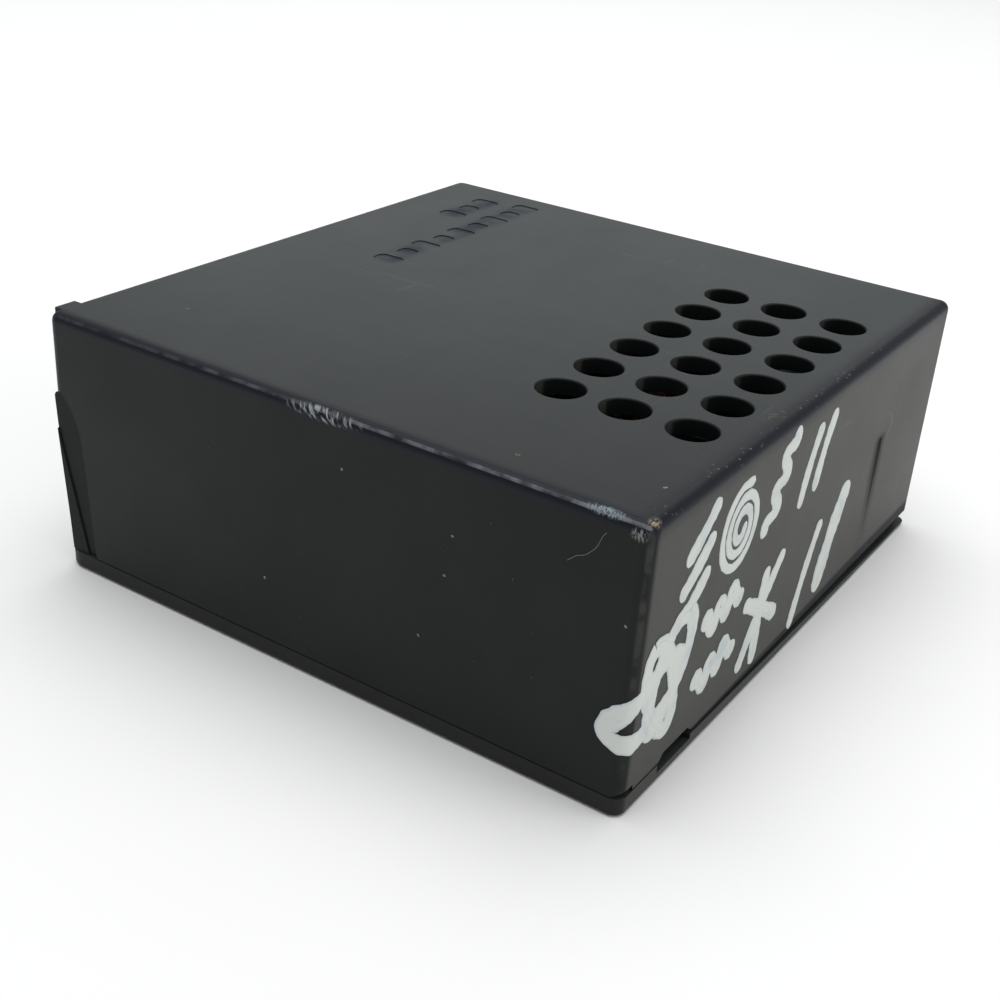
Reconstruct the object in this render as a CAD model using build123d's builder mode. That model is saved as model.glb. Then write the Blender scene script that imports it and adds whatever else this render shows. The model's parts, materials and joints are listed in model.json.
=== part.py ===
"""Boxed controller board: a moulded cover over a base tray that carries the circuit board.

Millimetres. The origin is the centre of the tray's underside, with +Z up. +X is the
closed end, -X is the end with the wiring sockets, and the long sides face -Y and +Y.
"""

import os

from build123d import *

os.makedirs("parts", exist_ok=True)

# ---------------------------------------------------------------- enclosure
LENGTH = 100.0  # along X
WIDTH = 103.2  # along Y
HEIGHT = 41.6  # along Z
WALL = 2.2
ROOF = 2.4
CORNER_RADIUS = 1.8
ROOF_ROUNDING = 1.4
PLATE = 2.8  # tray floor
PLATE_ROUNDING = 0.6
PLATE_END_RADIUS = 3.2  # at the two corners of the socket end
PARTING_GAP = 0.2  # hairline between the tray's rim and the cover
FIT_GAP = 0.25  # between the tray's upstands and the cover's walls
PARTING_Z = PLATE + PARTING_GAP
ROOF_INSIDE_Z = HEIGHT - ROOF
CAVITY_LENGTH = LENGTH - 2 * WALL
CAVITY_WIDTH = WIDTH - 2 * WALL
CAVITY_CORNER_RADIUS = 0.8

# Vents: a grid of round holes near the closed end
VENT_DIAMETER = 7.0
VENT_PITCH_X = 10.0
VENT_PITCH_Y = 10.2
VENT_COLUMNS = 3
VENT_ROWS = 6
VENT_CENTRE_X = 30.9
VENT_CENTRE_Y = 0.75
VENT_RIM_ROUNDING = 0.3

# Moulded marks: rows of plain blocks, alternately long and short, sunk in the roof
MARK_DEPTH = 0.15
MARK_LENGTHS = (5.0, 3.4)  # along X
MARK_WIDTH = 3.2
MARK_RADIUS = 1.2
MARK_PITCH = 5.2
LONG_MARK_ROW = (-29.8, 2.6, 9)  # x, first y, count
SHORT_MARK_ROW = (-37.4, 31.6, 3)

# Socket end: the cover's side walls stop at a notch that the tray's end panel fills
NOTCH_FOOT_X = -43.0
NOTCH_HEAD_X = -44.5
NOTCH_SPRING_Z = 21.6  # where the notch's arched corner starts
NOTCH_CROWN_X = -48.2
NOTCH_TOP_Z = 29.3
NOTCH_GAP = 0.3
PANEL_FOOT_X = -48.7
PANEL_HEAD_X = -50.3  # the panel leans outwards
PANEL_THICKNESS = 2.2
PANEL_SETBACK = 0.5  # from the cover's side faces
PANEL_TOP_Z = NOTCH_TOP_Z - NOTCH_GAP
PANEL_ROUNDING = 0.9
RETURN_THICKNESS = 1.8
GUSSET_TOP_Z = 23.0
GUSSET_FOOT_WIDTH = 3.3
GUSSET_SETBACK = 0.25
GUSSET_INSET = 0.5  # from the panel's outer face, at the foot

# Small details of the cover
LUG_Y = -47.7
LUG_WIDTH = 3.6
LUG_PROUD = 1.0
LUG_LENGTH = 4.0
LUG_DROP = 0.05  # below the roof
LUG_ROUNDING = 0.7
GROOVE_Y = 26.6
GROOVE_HIGH_Z = 24.6
GROOVE_LENGTH = 17.0
GROOVE_DEPTH = 0.3  # at its upper end
GROOVE_CUTTER_RADIUS = 1.6
GROOVE_TILT = 1.0  # degrees; the groove runs out to nothing at its lower end
CHIP_SIZE = 1.5  # broken edge at the front corner of the parting line
CHIP_RISE = 0.9
RIB_WIDTH = 1.2
RIB_DEPTH = 1.0
RIB_FOOT_Z = 14.5
SIDE_RIB_XS = (-34.0, 0.0, 34.0)
END_RIB_YS = (-36.0, 0.0, 36.0)

# Upstands and details of the tray
LIP_THICKNESS = 1.6
LIP_TOP_Z = 6.5
TONGUE_WIDTH = 10.0
TONGUE_TOP_Z = 13.0
TONGUE_LEAD_IN = 0.7
SIDE_TONGUE_XS = (-18.0, 18.0)
END_TONGUE_YS = (-20.0, 20.0)
GUIDE_LENGTH = 6.0  # tab behind each notch
GUIDE_TOP_Z = 24.0
STANDOFF_DIAMETER = 7.0
STANDOFF_BORE = 2.4
STANDOFF_BORE_FLOOR_Z = 1.6
REST_POST_DIAMETER = 4.0
REST_POST_SPOTS = ((0.0, -20.0), (0.0, 20.0))
PRY_SLOT_Y = -37.2
PRY_SLOT_WIDTH = 9.4
PRY_SLOT_DEPTH = 2.4
PRY_SLOT_FLOOR_Z = 1.5
PRY_BITE_RISE = 1.1  # worn into the cover's edge over the slot
PRY_BITE_SLOPE = 1.3
RELIEF_START_Z = 2.3
RELIEF_END_Z = 0.7
RELIEF_DEPTH = 1.9
LABEL_PANEL_Y = 26.0
LABEL_PANEL_LENGTH = 58.0
LABEL_PANEL_WIDTH = 34.0
LABEL_PANEL_DEPTH = 0.4
LABEL_PANEL_RADIUS = 2.0
EJECTOR_DIAMETER = 6.0
EJECTOR_DEPTH = 0.2
EJECTOR_SPACING = 78.0

# ---------------------------------------------------------------- circuit board
BOARD_LOW_X = -46.4
BOARD_HIGH_X = 45.4
BOARD_WIDTH = 92.8
BOARD_UNDER_Z = 8.0
BOARD_THICKNESS = 1.6
BOARD_CORNER_RADIUS = 1.5
BOARD_Z = BOARD_UNDER_Z + BOARD_THICKNESS  # component side
BOARD_CENTRE_X = (BOARD_LOW_X + BOARD_HIGH_X) / 2
SCREW_X = 40.5
SCREW_Y = 41.5
SCREW_SPOTS = ((SCREW_X, SCREW_Y), (SCREW_X, -SCREW_Y), (-SCREW_X, SCREW_Y), (-SCREW_X, -SCREW_Y))
BOARD_HOLE = 3.4
SCREW_SHANK = 2.3
SCREW_TIP_Z = 2.4
SCREW_HEAD = 5.6
SCREW_HEAD_HEIGHT = 2.2
RECESS_LENGTH = 3.2
RECESS_WIDTH = 0.7
RECESS_DEPTH = 1.2

# Wiring sockets: shrouds open to -X through windows in the end panel
SHROUD_FRONT_X = -49.6
SHROUD_BACK_X = -36.0
SHROUD_HEIGHT = 13.4
SHROUD_WALL = 2.0
SHROUD_CAVITY_DEPTH = 11.0
SHROUD_CAVITY_CORNER = 1.2
WINDOW_GAP = 0.3
CONTACT_TIP_X = -44.4
MAIN_SOCKET_Y = -11.0
MAIN_SOCKET_LENGTH = 50.0
MAIN_CONTACTS = 12  # in each of two rows
MAIN_PITCH = 3.6
MAIN_CONTACT_SIZE = 1.0
LOWER_ROW_Z = 14.2
UPPER_ROW_Z = 18.4
LOWER_TAIL_X = -34.4
UPPER_TAIL_X = -32.4
POWER_SOCKET_Y = 27.0
POWER_SOCKET_LENGTH = 19.0
POWER_CONTACTS = 3
POWER_PITCH = 4.6
BLADE_WIDTH = 2.8
BLADE_THICKNESS = 0.8
BLADE_Z = 16.3
BLADE_TAIL_X = -33.4
KEY_WIDTH = 2.4  # polarising rib in each shroud
KEY_HEIGHT = 1.4

# Dual-in-line chips, long way along Y
CHIP_LEAD_PITCH = 2.54
CHIP_LEAD_WIDTH = 0.5
CHIP_LEAD_THICKNESS = 0.25
CHIP_SHOULDER_WIDTH = 1.3
CHIP_SHOULDER_REACH = 0.6
CHIP_NOTCH_RADIUS = 1.2
CHIP_NOTCH_DEPTH = 0.5
CHIP_CHAMFER = 0.25
CHIP_LIFT = 0.6  # body above what it stands on
PROCESSOR_SPOT = (-14.0, -8.0)
PROCESSOR_PINS = 20  # on each side
PROCESSOR_WIDTH = 13.8
PROCESSOR_LENGTH = 52.0
PROCESSOR_HEIGHT = 4.0
SOCKET_WIDTH = 17.6
SOCKET_LENGTH = 51.0
SOCKET_HEIGHT = 4.2
SOCKET_OPENING_WIDTH = 8.6
SOCKET_OPENING_LENGTH = 20.0
SOCKET_OPENING_SPACING = 23.0
DRIVER_SPOTS = ((3.0, -10.0), (3.0, 13.0))
DRIVER_PINS = 8
DRIVER_LENGTH = 19.5
MEMORY_SPOT = (0.0, -38.0)
MEMORY_PINS = 4
MEMORY_LENGTH = 9.6
SMALL_CHIP_WIDTH = 6.4
SMALL_CHIP_HEIGHT = 3.4

# Crystal: an oval can
CRYSTAL_SPOT = (-28.5, 6.0)
CRYSTAL_LENGTH = 11.0
CRYSTAL_WIDTH = 4.7
CRYSTAL_HEIGHT = 13.0
CRYSTAL_FLANGE = 0.5
CRYSTAL_ROUNDING = 0.5

# Heat sink with three power devices bolted to its -X face
SINK_PLATE_X = 29.0
SINK_PLATE = 3.0
SINK_LENGTH = 48.0
SINK_HEIGHT = 24.0
FIN_TIP_X = 39.6
FIN_THICKNESS = 1.5
FIN_YS = (-22.6, -18.6, -9.4, -5.4, 5.4, 9.4, 18.6, 22.6)
DEVICE_YS = (-14.0, 0.0, 14.0)
DEVICE_WIDTH = 10.0
DEVICE_FOOT_Z = 13.6
DEVICE_BODY_HEIGHT = 9.0
DEVICE_BODY_DEPTH = 3.3
TAB_THICKNESS = 1.3
TAB_HEIGHT = 15.7
TAB_HOLE = 3.4
BOLT_Z = 26.0
BOLT_SHANK = 2.9
BOLT_HEAD = 5.4
BOLT_HEAD_HEIGHT = 2.0
BOLT_TIP_X = 35.4
NUT_ACROSS_FLATS = 5.5
NUT_HEIGHT = 2.4
NUT_BORE = 3.0
DEVICE_LEAD_PITCH = 2.54
DEVICE_LEAD_WIDTH = 0.8
DEVICE_LEAD_THICKNESS = 0.5

# Electrolytic capacitors: x, y, diameter, height
LARGE_CAPACITORS = ((14.0, -34.0, 16.0, 24.0), (30.0, -36.0, 13.0, 21.0))
SMALL_CAPACITORS = (
    (0.0, -27.0, 6.3, 11.0),
    (22.0, -25.0, 6.3, 11.0),
    (23.8, 23.0, 6.3, 11.0),
    (-31.0, 41.6, 6.3, 11.0),
    (41.0, -29.0, 6.3, 11.0),
)
SLEEVE_LIP = 0.5  # shrink sleeve turned over the can's top
SLEEVE_THICKNESS = 0.3
CAN_SCORE_WIDTH = 0.4
CAN_SCORE_DEPTH = 0.25

# Box film capacitors, ceramic discs and the surge disc
FILM_SPOTS = ((42.6, 8.0), (42.6, -8.0), (42.6, 31.0), (-28.5, 17.4))
FILM_THICKNESS = 4.8
FILM_LENGTH = 10.3
FILM_HEIGHT = 10.5
FILM_ROUNDING = 0.5
DISC_SPOTS = ((-27.0, -3.6), (-27.0, -8.6), (8.4, -23.4), (9.5, 24.0))
DISC_DIAMETER = 5.6
DISC_THICKNESS = 2.2
DISC_LIFT = 1.6
DISC_LEAD_SPACING = 3.0
SURGE_SPOT = (-30.4, 30.4)
SURGE_DIAMETER = 13.0
SURGE_THICKNESS = 4.0
SURGE_LEAD_SPACING = 7.5
LEAD_DIAMETER = 0.6

# Axial resistors and diodes: spot and the direction the body lies in
RESISTOR_COLUMN_X = 15.5
RESISTOR_FIRST_Y = -20.0
RESISTOR_STEP = 3.5
RESISTOR_COUNT = 9
CROSS_RESISTOR_SPOTS = ((-29.6, -30.0), (-26.2, -30.0), (-29.6, -17.6), (-26.2, -17.6))
RESISTOR_DIAMETER = 2.3
RESISTOR_CAP_DIAMETER = 2.7
RESISTOR_CAP_LENGTH = 1.6
RESISTOR_LENGTH = 6.5
DIODE_SPOTS = ((15.5, 12.6), (15.5, 16.8), (15.5, 21.0))
DIODE_DIAMETER = 2.8
DIODE_LENGTH = 5.2
AXIAL_LEG_SPACING = 10.16
AXIAL_LIFT = 0.5

# Small transistors with one flat side
TRANSISTOR_SPOTS = ((-30.0, -39.6), (-24.6, -39.6), (-19.2, -39.6))
TRANSISTOR_RADIUS = 2.4
TRANSISTOR_FLAT = 1.3  # from the axis
TRANSISTOR_HEIGHT = 4.7
TRANSISTOR_LIFT = 2.4
TRANSISTOR_LEAD_PITCH = 1.27

# Ring choke, lying flat
CHOKE_SPOT = (29.0, 34.6)
CHOKE_OUTER = 15.0
CHOKE_INNER = 8.6
CHOKE_HEIGHT = 6.4
CHOKE_WIRE = 1.0
CHOKE_WOUND_ANGLE = 310.0
CHOKE_LIFT = CHOKE_WIRE + 0.2

# Two open relays, hinge edge towards -X
RELAY_SPOTS = ((-16.0, 34.0), (8.0, 34.0))
RELAY_BASE_LENGTH = 20.0
RELAY_BASE_WIDTH = 14.0
RELAY_BASE_HEIGHT = 3.0
COIL_OFFSET_X = -2.4
COIL_DIAMETER = 11.2
BOBBIN_DIAMETER = 12.4
BOBBIN_FLANGE = 1.0
BOBBIN_HEIGHT = 12.0
BOBBIN_TUBE = 6.4
CORE_DIAMETER = 5.0
POLE_DIAMETER = 7.2
POLE_HEIGHT = 0.8
YOKE_THICKNESS = 1.4
YOKE_WIDTH = 9.0
YOKE_OFFSET_X = -9.3  # centre of the upright
ARMATURE_THICKNESS = 1.2
ARMATURE_GAP = 1.2  # above the pole when released
ARMATURE_REACH = 13.5
HINGE_GAP = 0.2
LEAF_WIDTH = 3.0
LEAF_THICKNESS = 0.35
CONTACT_DIAMETER = 2.2
CONTACT_HEIGHT = 0.5
CONTACT_OFFSET_X = 7.6
CONTACT_TRAVEL = 1.9  # between the moving contact and the lower one
POST_WIDTH = 2.4
POST_THICKNESS = 0.6
POST_OFFSET_X = 9.5
POST_ARM_SPAN = 4.6  # across the relay, from the post's outer edge

# Reset button and trimmer
BUTTON_SPOT = (-10.6, -40.2)
BUTTON_BODY = 6.2
BUTTON_HEIGHT = 3.5
BUTTON_PLATE = 0.3
BUTTON_WELL = 4.0
PLUNGER_DIAMETER = 3.5
PLUNGER_FOOT = 2.6  # below the top of the body, in the well
PLUNGER_RISE = 1.6
PLUNGER_CLEARANCE = 0.8  # under the plunger: its travel and a margin
TRIMMER_SPOT = (-8.6, 22.0)
TRIMMER_BODY = 6.8
TRIMMER_HEIGHT = 4.8
TRIMMER_WELL = 5.2
TRIMMER_WELL_DEPTH = 1.8
ROTOR_DIAMETER = 4.8
ROTOR_HEIGHT = 1.7
ROTOR_GAP = 0.15
ROTOR_SLOT_WIDTH = 0.7
ROTOR_SLOT_DEPTH = 0.7

STANDING = (Align.CENTER, Align.CENTER, Align.MIN)
HANGING = (Align.CENTER, Align.CENTER, Align.MAX)


def save(piece, label):
    """Name a finished piece and write it as its own STEP file."""
    piece.part.label = label
    export_step(piece.part, f"parts/{label}.step")


def spots_at(spots, z):
    """Turn plan positions into points at one height."""
    return [(x, y, z) for x, y in spots]


def mark_row(x, first_y, count):
    """Sketch one row of moulded marks, its blocks alternately long and short."""
    for index in range(count):
        with Locations((x, first_y + index * MARK_PITCH)):
            RectangleRounded(MARK_LENGTHS[index % 2], MARK_WIDTH, MARK_RADIUS)


def notch_outline(gap, top_z, outer_x):
    """Draw the arched notch in the XZ plane, its edges moved in by a gap."""
    foot = (NOTCH_FOOT_X - gap, PLATE)
    spring = (NOTCH_HEAD_X - gap, NOTCH_SPRING_Z)
    crown = (NOTCH_CROWN_X - gap, top_z)
    with BuildLine() as outline:
        side = Line(foot, spring)
        TangentArc(spring, crown, tangent=side % 1)
        Polyline(crown, (outer_x, top_z), (outer_x, PLATE), foot)
    return outline.line.edges()


# ---------------------------------------------------------------- cover
with BuildPart() as cover:
    with BuildSketch(Plane.XY.offset(PARTING_Z)):
        RectangleRounded(LENGTH, WIDTH, CORNER_RADIUS)
    extrude(amount=HEIGHT - PARTING_Z)
    fillet(cover.faces().sort_by(Axis.Z)[-1].edges(), ROOF_ROUNDING)
    with BuildSketch(Plane.XY.offset(PARTING_Z)):
        RectangleRounded(CAVITY_LENGTH, CAVITY_WIDTH, CAVITY_CORNER_RADIUS)
    extrude(amount=ROOF_INSIDE_Z - PARTING_Z, mode=Mode.SUBTRACT)
    # Ribs stiffen the walls above the tray's upstands.
    side_rib_y = CAVITY_WIDTH / 2 - RIB_DEPTH / 2
    side_ribs = [(x, y, RIB_FOOT_Z) for x in SIDE_RIB_XS for y in (-side_rib_y, side_rib_y)]
    with Locations(*side_ribs):
        Box(RIB_WIDTH, RIB_DEPTH, ROOF_INSIDE_Z - RIB_FOOT_Z, align=STANDING)
    end_ribs = [(CAVITY_LENGTH / 2 - RIB_DEPTH / 2, y, RIB_FOOT_Z) for y in END_RIB_YS]
    with Locations(*end_ribs):
        Box(RIB_DEPTH, RIB_WIDTH, ROOF_INSIDE_Z - RIB_FOOT_Z, align=STANDING)
    # The socket end is open below the notch's top, and the side walls are cut back.
    with BuildSketch(Plane.XZ):
        make_face(notch_outline(0, NOTCH_TOP_Z, -LENGTH))
    extrude(amount=WIDTH, both=True, mode=Mode.SUBTRACT)
    with BuildSketch(Plane.XY.offset(HEIGHT)):
        with Locations((VENT_CENTRE_X, VENT_CENTRE_Y)):
            with GridLocations(VENT_PITCH_X, VENT_PITCH_Y, VENT_COLUMNS, VENT_ROWS):
                Circle(VENT_DIAMETER / 2)
    extrude(amount=-ROOF, mode=Mode.SUBTRACT)
    roof_circles = cover.edges().filter_by(GeomType.CIRCLE).group_by(Axis.Z)[-1]
    fillet(roof_circles.filter_by(lambda edge: edge.is_closed), VENT_RIM_ROUNDING)
    with BuildSketch(Plane.XY.offset(HEIGHT)):
        mark_row(*LONG_MARK_ROW)
        mark_row(*SHORT_MARK_ROW)
    extrude(amount=-MARK_DEPTH, mode=Mode.SUBTRACT)
    # Shallow upright groove in the closed end, round at the top and running out below.
    groove_axis_x = LENGTH / 2 + GROOVE_CUTTER_RADIUS - GROOVE_DEPTH
    with Locations(Location((groove_axis_x, GROOVE_Y, GROOVE_HIGH_Z), (0, -GROOVE_TILT, 0))):
        Cylinder(GROOVE_CUTTER_RADIUS, GROOVE_LENGTH, align=HANGING, mode=Mode.SUBTRACT)
        Sphere(GROOVE_CUTTER_RADIUS, mode=Mode.SUBTRACT)
    # The lever has worn a bite into the lower edge of the closed end.
    with BuildSketch(Plane.YZ.offset(LENGTH / 2)):
        with BuildLine():
            Polyline(
                (PRY_SLOT_Y - PRY_SLOT_WIDTH / 2, PARTING_Z),
                (PRY_SLOT_Y - PRY_SLOT_WIDTH / 2 + PRY_BITE_SLOPE, PARTING_Z + PRY_BITE_RISE),
                (PRY_SLOT_Y + PRY_SLOT_WIDTH / 2 - PRY_BITE_SLOPE, PARTING_Z + PRY_BITE_RISE),
                (PRY_SLOT_Y + PRY_SLOT_WIDTH / 2, PARTING_Z),
                close=True,
            )
        make_face()
    extrude(amount=-WALL, mode=Mode.SUBTRACT)
    # A chip is missing from the lower edge at one corner.
    with BuildSketch(Plane.XZ.offset(WIDTH / 2)):
        with BuildLine():
            Polyline(
                (LENGTH / 2 - CHIP_SIZE, PARTING_Z),
                (LENGTH / 2, PARTING_Z + CHIP_RISE),
                (LENGTH / 2, PARTING_Z),
                close=True,
            )
        make_face()
    extrude(amount=-2 * CHIP_SIZE, mode=Mode.SUBTRACT)

with BuildPart() as lug:
    with Locations(((WALL - LUG_PROUD - LENGTH) / 2, LUG_Y, HEIGHT - LUG_DROP)):
        Box(WALL + LUG_PROUD, LUG_WIDTH, LUG_LENGTH, align=HANGING)
    fillet(lug.faces().sort_by(Axis.X)[0].edges(), LUG_ROUNDING)

with BuildPart() as finished_cover:
    add(cover.part)
    add(lug.part)
save(finished_cover, "cover")

# ---------------------------------------------------------------- base tray
lip_length = CAVITY_LENGTH - 2 * FIT_GAP
lip_width = CAVITY_WIDTH - 2 * FIT_GAP
lip_centre_x = lip_length / 2 - LIP_THICKNESS / 2
lip_centre_y = lip_width / 2 - LIP_THICKNESS / 2
panel_half_width = WIDTH / 2 - PANEL_SETBACK
window_low_z = BOARD_Z - WINDOW_GAP
window_height = SHROUD_HEIGHT + 2 * WINDOW_GAP
panel_lean = (PANEL_HEAD_X - PANEL_FOOT_X) / (PANEL_TOP_Z - PLATE)
gusset_top_x = PANEL_FOOT_X + panel_lean * (GUSSET_TOP_Z - PLATE)
relief_start_y = PRY_SLOT_Y + PRY_SLOT_WIDTH / 2

with BuildPart() as end_panel:
    # Leaning end panel, rounded along its outer top edge.
    with BuildSketch(Plane.XZ) as panel_section:
        with BuildLine():
            Polyline(
                (PANEL_FOOT_X, PLATE),
                (PANEL_HEAD_X, PANEL_TOP_Z),
                (PANEL_HEAD_X + PANEL_THICKNESS, PANEL_TOP_Z),
                (PANEL_FOOT_X + PANEL_THICKNESS, PLATE),
                close=True,
            )
        make_face()
        fillet(panel_section.vertices().group_by(Axis.Y)[-1].sort_by(Axis.X)[0], PANEL_ROUNDING)
    extrude(amount=panel_half_width, both=True)
    # A return at each end of the panel fills the cover's notch.
    with BuildSketch(Plane.XZ.offset(panel_half_width)):
        make_face(notch_outline(NOTCH_GAP, PANEL_TOP_Z - NOTCH_GAP, PANEL_FOOT_X))
    extrude(amount=-RETURN_THICKNESS)
    # The gusset stands proud of the return and widens to its foot.
    with BuildSketch(Plane.XZ.offset(WIDTH / 2 - GUSSET_SETBACK)):
        with BuildLine():
            Polyline(
                (PANEL_FOOT_X + GUSSET_INSET, PLATE - PLATE_ROUNDING),
                (gusset_top_x, GUSSET_TOP_Z),
                (PANEL_FOOT_X + GUSSET_INSET + GUSSET_FOOT_WIDTH, PLATE - PLATE_ROUNDING),
                close=True,
            )
        make_face()
    extrude(amount=-RETURN_THICKNESS)
    # A guide tab stands behind the edge of each notch.
    with Locations((NOTCH_FOOT_X, -lip_centre_y, PLATE)):
        Box(GUIDE_LENGTH, LIP_THICKNESS, GUIDE_TOP_Z - PLATE, align=STANDING)
    mirror(about=Plane.XZ)

with BuildPart() as base_tray:
    with BuildSketch() as floor_outline:
        Rectangle(LENGTH, WIDTH)
        fillet(floor_outline.vertices().group_by(Axis.X)[0], PLATE_END_RADIUS)
        fillet(floor_outline.vertices().group_by(Axis.X)[-1], CORNER_RADIUS)
    extrude(amount=PLATE)
    fillet(base_tray.faces().sort_by(Axis.Z)[0].edges(), PLATE_ROUNDING)
    with Locations((0, 0, PLATE)):
        Box(lip_length, lip_width, LIP_TOP_Z - PLATE, align=STANDING)
        Box(
            lip_length - 2 * LIP_THICKNESS,
            lip_width - 2 * LIP_THICKNESS,
            LIP_TOP_Z - PLATE,
            align=STANDING,
            mode=Mode.SUBTRACT,
        )
    # Tongues rise from the lip and hold the cover's walls.
    side_tongues = [(x, y, PLATE) for x in SIDE_TONGUE_XS for y in (-lip_centre_y, lip_centre_y)]
    with Locations(*side_tongues):
        Box(TONGUE_WIDTH, LIP_THICKNESS, TONGUE_TOP_Z - PLATE, align=STANDING)
    with Locations(*[(lip_centre_x, y, PLATE) for y in END_TONGUE_YS]):
        Box(LIP_THICKNESS, TONGUE_WIDTH, TONGUE_TOP_Z - PLATE, align=STANDING)
    tongue_tops = base_tray.faces().group_by(Axis.Z)[-1]
    chamfer(tongue_tops.edges(), TONGUE_LEAD_IN)
    add(end_panel.part)
    # Standoffs with blind pilot holes, and two posts under the middle of the board.
    with Locations(*spots_at(SCREW_SPOTS, PLATE)):
        Cylinder(STANDOFF_DIAMETER / 2, BOARD_UNDER_Z - PLATE, align=STANDING)
    with Locations(*spots_at(SCREW_SPOTS, STANDOFF_BORE_FLOOR_Z)):
        Cylinder(
            STANDOFF_BORE / 2, BOARD_UNDER_Z - STANDOFF_BORE_FLOOR_Z, align=STANDING, mode=Mode.SUBTRACT
        )
    with Locations(*spots_at(REST_POST_SPOTS, PLATE)):
        Cylinder(REST_POST_DIAMETER / 2, BOARD_UNDER_Z - PLATE, align=STANDING)
    # Windows for the two wiring sockets.
    with Locations((PANEL_FOOT_X, MAIN_SOCKET_Y, window_low_z)):
        Box(
            4 * PANEL_THICKNESS,
            MAIN_SOCKET_LENGTH + 2 * WINDOW_GAP,
            window_height,
            align=STANDING,
            mode=Mode.SUBTRACT,
        )
    with Locations((PANEL_FOOT_X, POWER_SOCKET_Y, window_low_z)):
        Box(
            4 * PANEL_THICKNESS,
            POWER_SOCKET_LENGTH + 2 * WINDOW_GAP,
            window_height,
            align=STANDING,
            mode=Mode.SUBTRACT,
        )
    # Slot for a flat blade in the closed end's rim, to lever the cover off.
    with Locations((LENGTH / 2, PRY_SLOT_Y, PRY_SLOT_FLOOR_Z)):
        Box(2 * PRY_SLOT_DEPTH, PRY_SLOT_WIDTH, PLATE, align=STANDING, mode=Mode.SUBTRACT)
    # Beyond the slot the rim tapers away from the cover towards the far corner.
    with BuildSketch(Plane.YZ.offset(LENGTH / 2)):
        with BuildLine():
            Polyline(
                (relief_start_y, RELIEF_START_Z),
                (WIDTH / 2, RELIEF_END_Z),
                (WIDTH / 2, PLATE),
                (relief_start_y, PLATE),
                close=True,
            )
        make_face()
    extrude(amount=-RELIEF_DEPTH, mode=Mode.SUBTRACT)
    # Sunk label panel and ejector marks in the underside.
    with BuildSketch():
        with Locations((0, LABEL_PANEL_Y)):
            RectangleRounded(LABEL_PANEL_LENGTH, LABEL_PANEL_WIDTH, LABEL_PANEL_RADIUS)
    extrude(amount=LABEL_PANEL_DEPTH, mode=Mode.SUBTRACT)
    with BuildSketch():
        with GridLocations(EJECTOR_SPACING, EJECTOR_SPACING, 2, 2):
            Circle(EJECTOR_DIAMETER / 2)
    extrude(amount=EJECTOR_DEPTH, mode=Mode.SUBTRACT)
save(base_tray, "base_tray")

# ---------------------------------------------------------------- circuit board and its screws
with BuildPart() as circuit_board:
    with BuildSketch(Plane.XY.offset(BOARD_UNDER_Z)):
        with Locations((BOARD_CENTRE_X, 0)):
            RectangleRounded(BOARD_HIGH_X - BOARD_LOW_X, BOARD_WIDTH, BOARD_CORNER_RADIUS)
        with Locations(*SCREW_SPOTS):
            Circle(BOARD_HOLE / 2, mode=Mode.SUBTRACT)
    extrude(amount=BOARD_THICKNESS)
save(circuit_board, "circuit_board")

with BuildPart() as board_screws:
    with Locations(*spots_at(SCREW_SPOTS, SCREW_TIP_Z)):
        Cylinder(SCREW_SHANK / 2, BOARD_Z - SCREW_TIP_Z, align=STANDING)
    with Locations(*spots_at(SCREW_SPOTS, BOARD_Z)):
        Cylinder(SCREW_HEAD / 2, SCREW_HEAD_HEIGHT, align=STANDING)
    fillet(board_screws.edges().group_by(Axis.Z)[-1], SCREW_HEAD_HEIGHT / 2)
    with Locations(*spots_at(SCREW_SPOTS, BOARD_Z + SCREW_HEAD_HEIGHT)):
        Box(RECESS_LENGTH, RECESS_WIDTH, 2 * RECESS_DEPTH, mode=Mode.SUBTRACT)
        Box(RECESS_WIDTH, RECESS_LENGTH, 2 * RECESS_DEPTH, mode=Mode.SUBTRACT)
save(board_screws, "board_screws")


# ---------------------------------------------------------------- wiring sockets
def socket_shroud(y, length):
    """Add one shroud: a box open to -X with a polarising rib on its ceiling."""
    depth = SHROUD_BACK_X - SHROUD_FRONT_X
    middle_z = BOARD_Z + SHROUD_HEIGHT / 2
    with BuildPart(mode=Mode.PRIVATE) as shroud:
        with Locations((SHROUD_FRONT_X + depth / 2, y, middle_z)):
            Box(depth, length, SHROUD_HEIGHT)
        fillet(shroud.edges().filter_by(Axis.X), SHROUD_CAVITY_CORNER)
        with Locations((SHROUD_FRONT_X + SHROUD_CAVITY_DEPTH / 2, y, middle_z)):
            Box(
                SHROUD_CAVITY_DEPTH,
                length - 2 * SHROUD_WALL,
                SHROUD_HEIGHT - 2 * SHROUD_WALL,
                mode=Mode.SUBTRACT,
            )
        ceiling_z = BOARD_Z + SHROUD_HEIGHT - SHROUD_WALL
        with Locations((SHROUD_FRONT_X + SHROUD_CAVITY_DEPTH / 2, y, ceiling_z)):
            Box(SHROUD_CAVITY_DEPTH, KEY_WIDTH, KEY_HEIGHT, align=HANGING)
    return shroud.part


def bent_contact(y, z, tail_x, width, thickness):
    """Add one contact: level through the shroud's back, then down to the board."""
    with Locations(((CONTACT_TIP_X + tail_x) / 2, y, z)):
        Box(tail_x - CONTACT_TIP_X, width, thickness)
    with Locations((tail_x - thickness / 2, y, BOARD_Z)):
        Box(thickness, width, z + thickness / 2 - BOARD_Z, align=STANDING)


with BuildPart() as main_socket_shroud:
    add(socket_shroud(MAIN_SOCKET_Y, MAIN_SOCKET_LENGTH))
save(main_socket_shroud, "main_socket_shroud")

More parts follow.
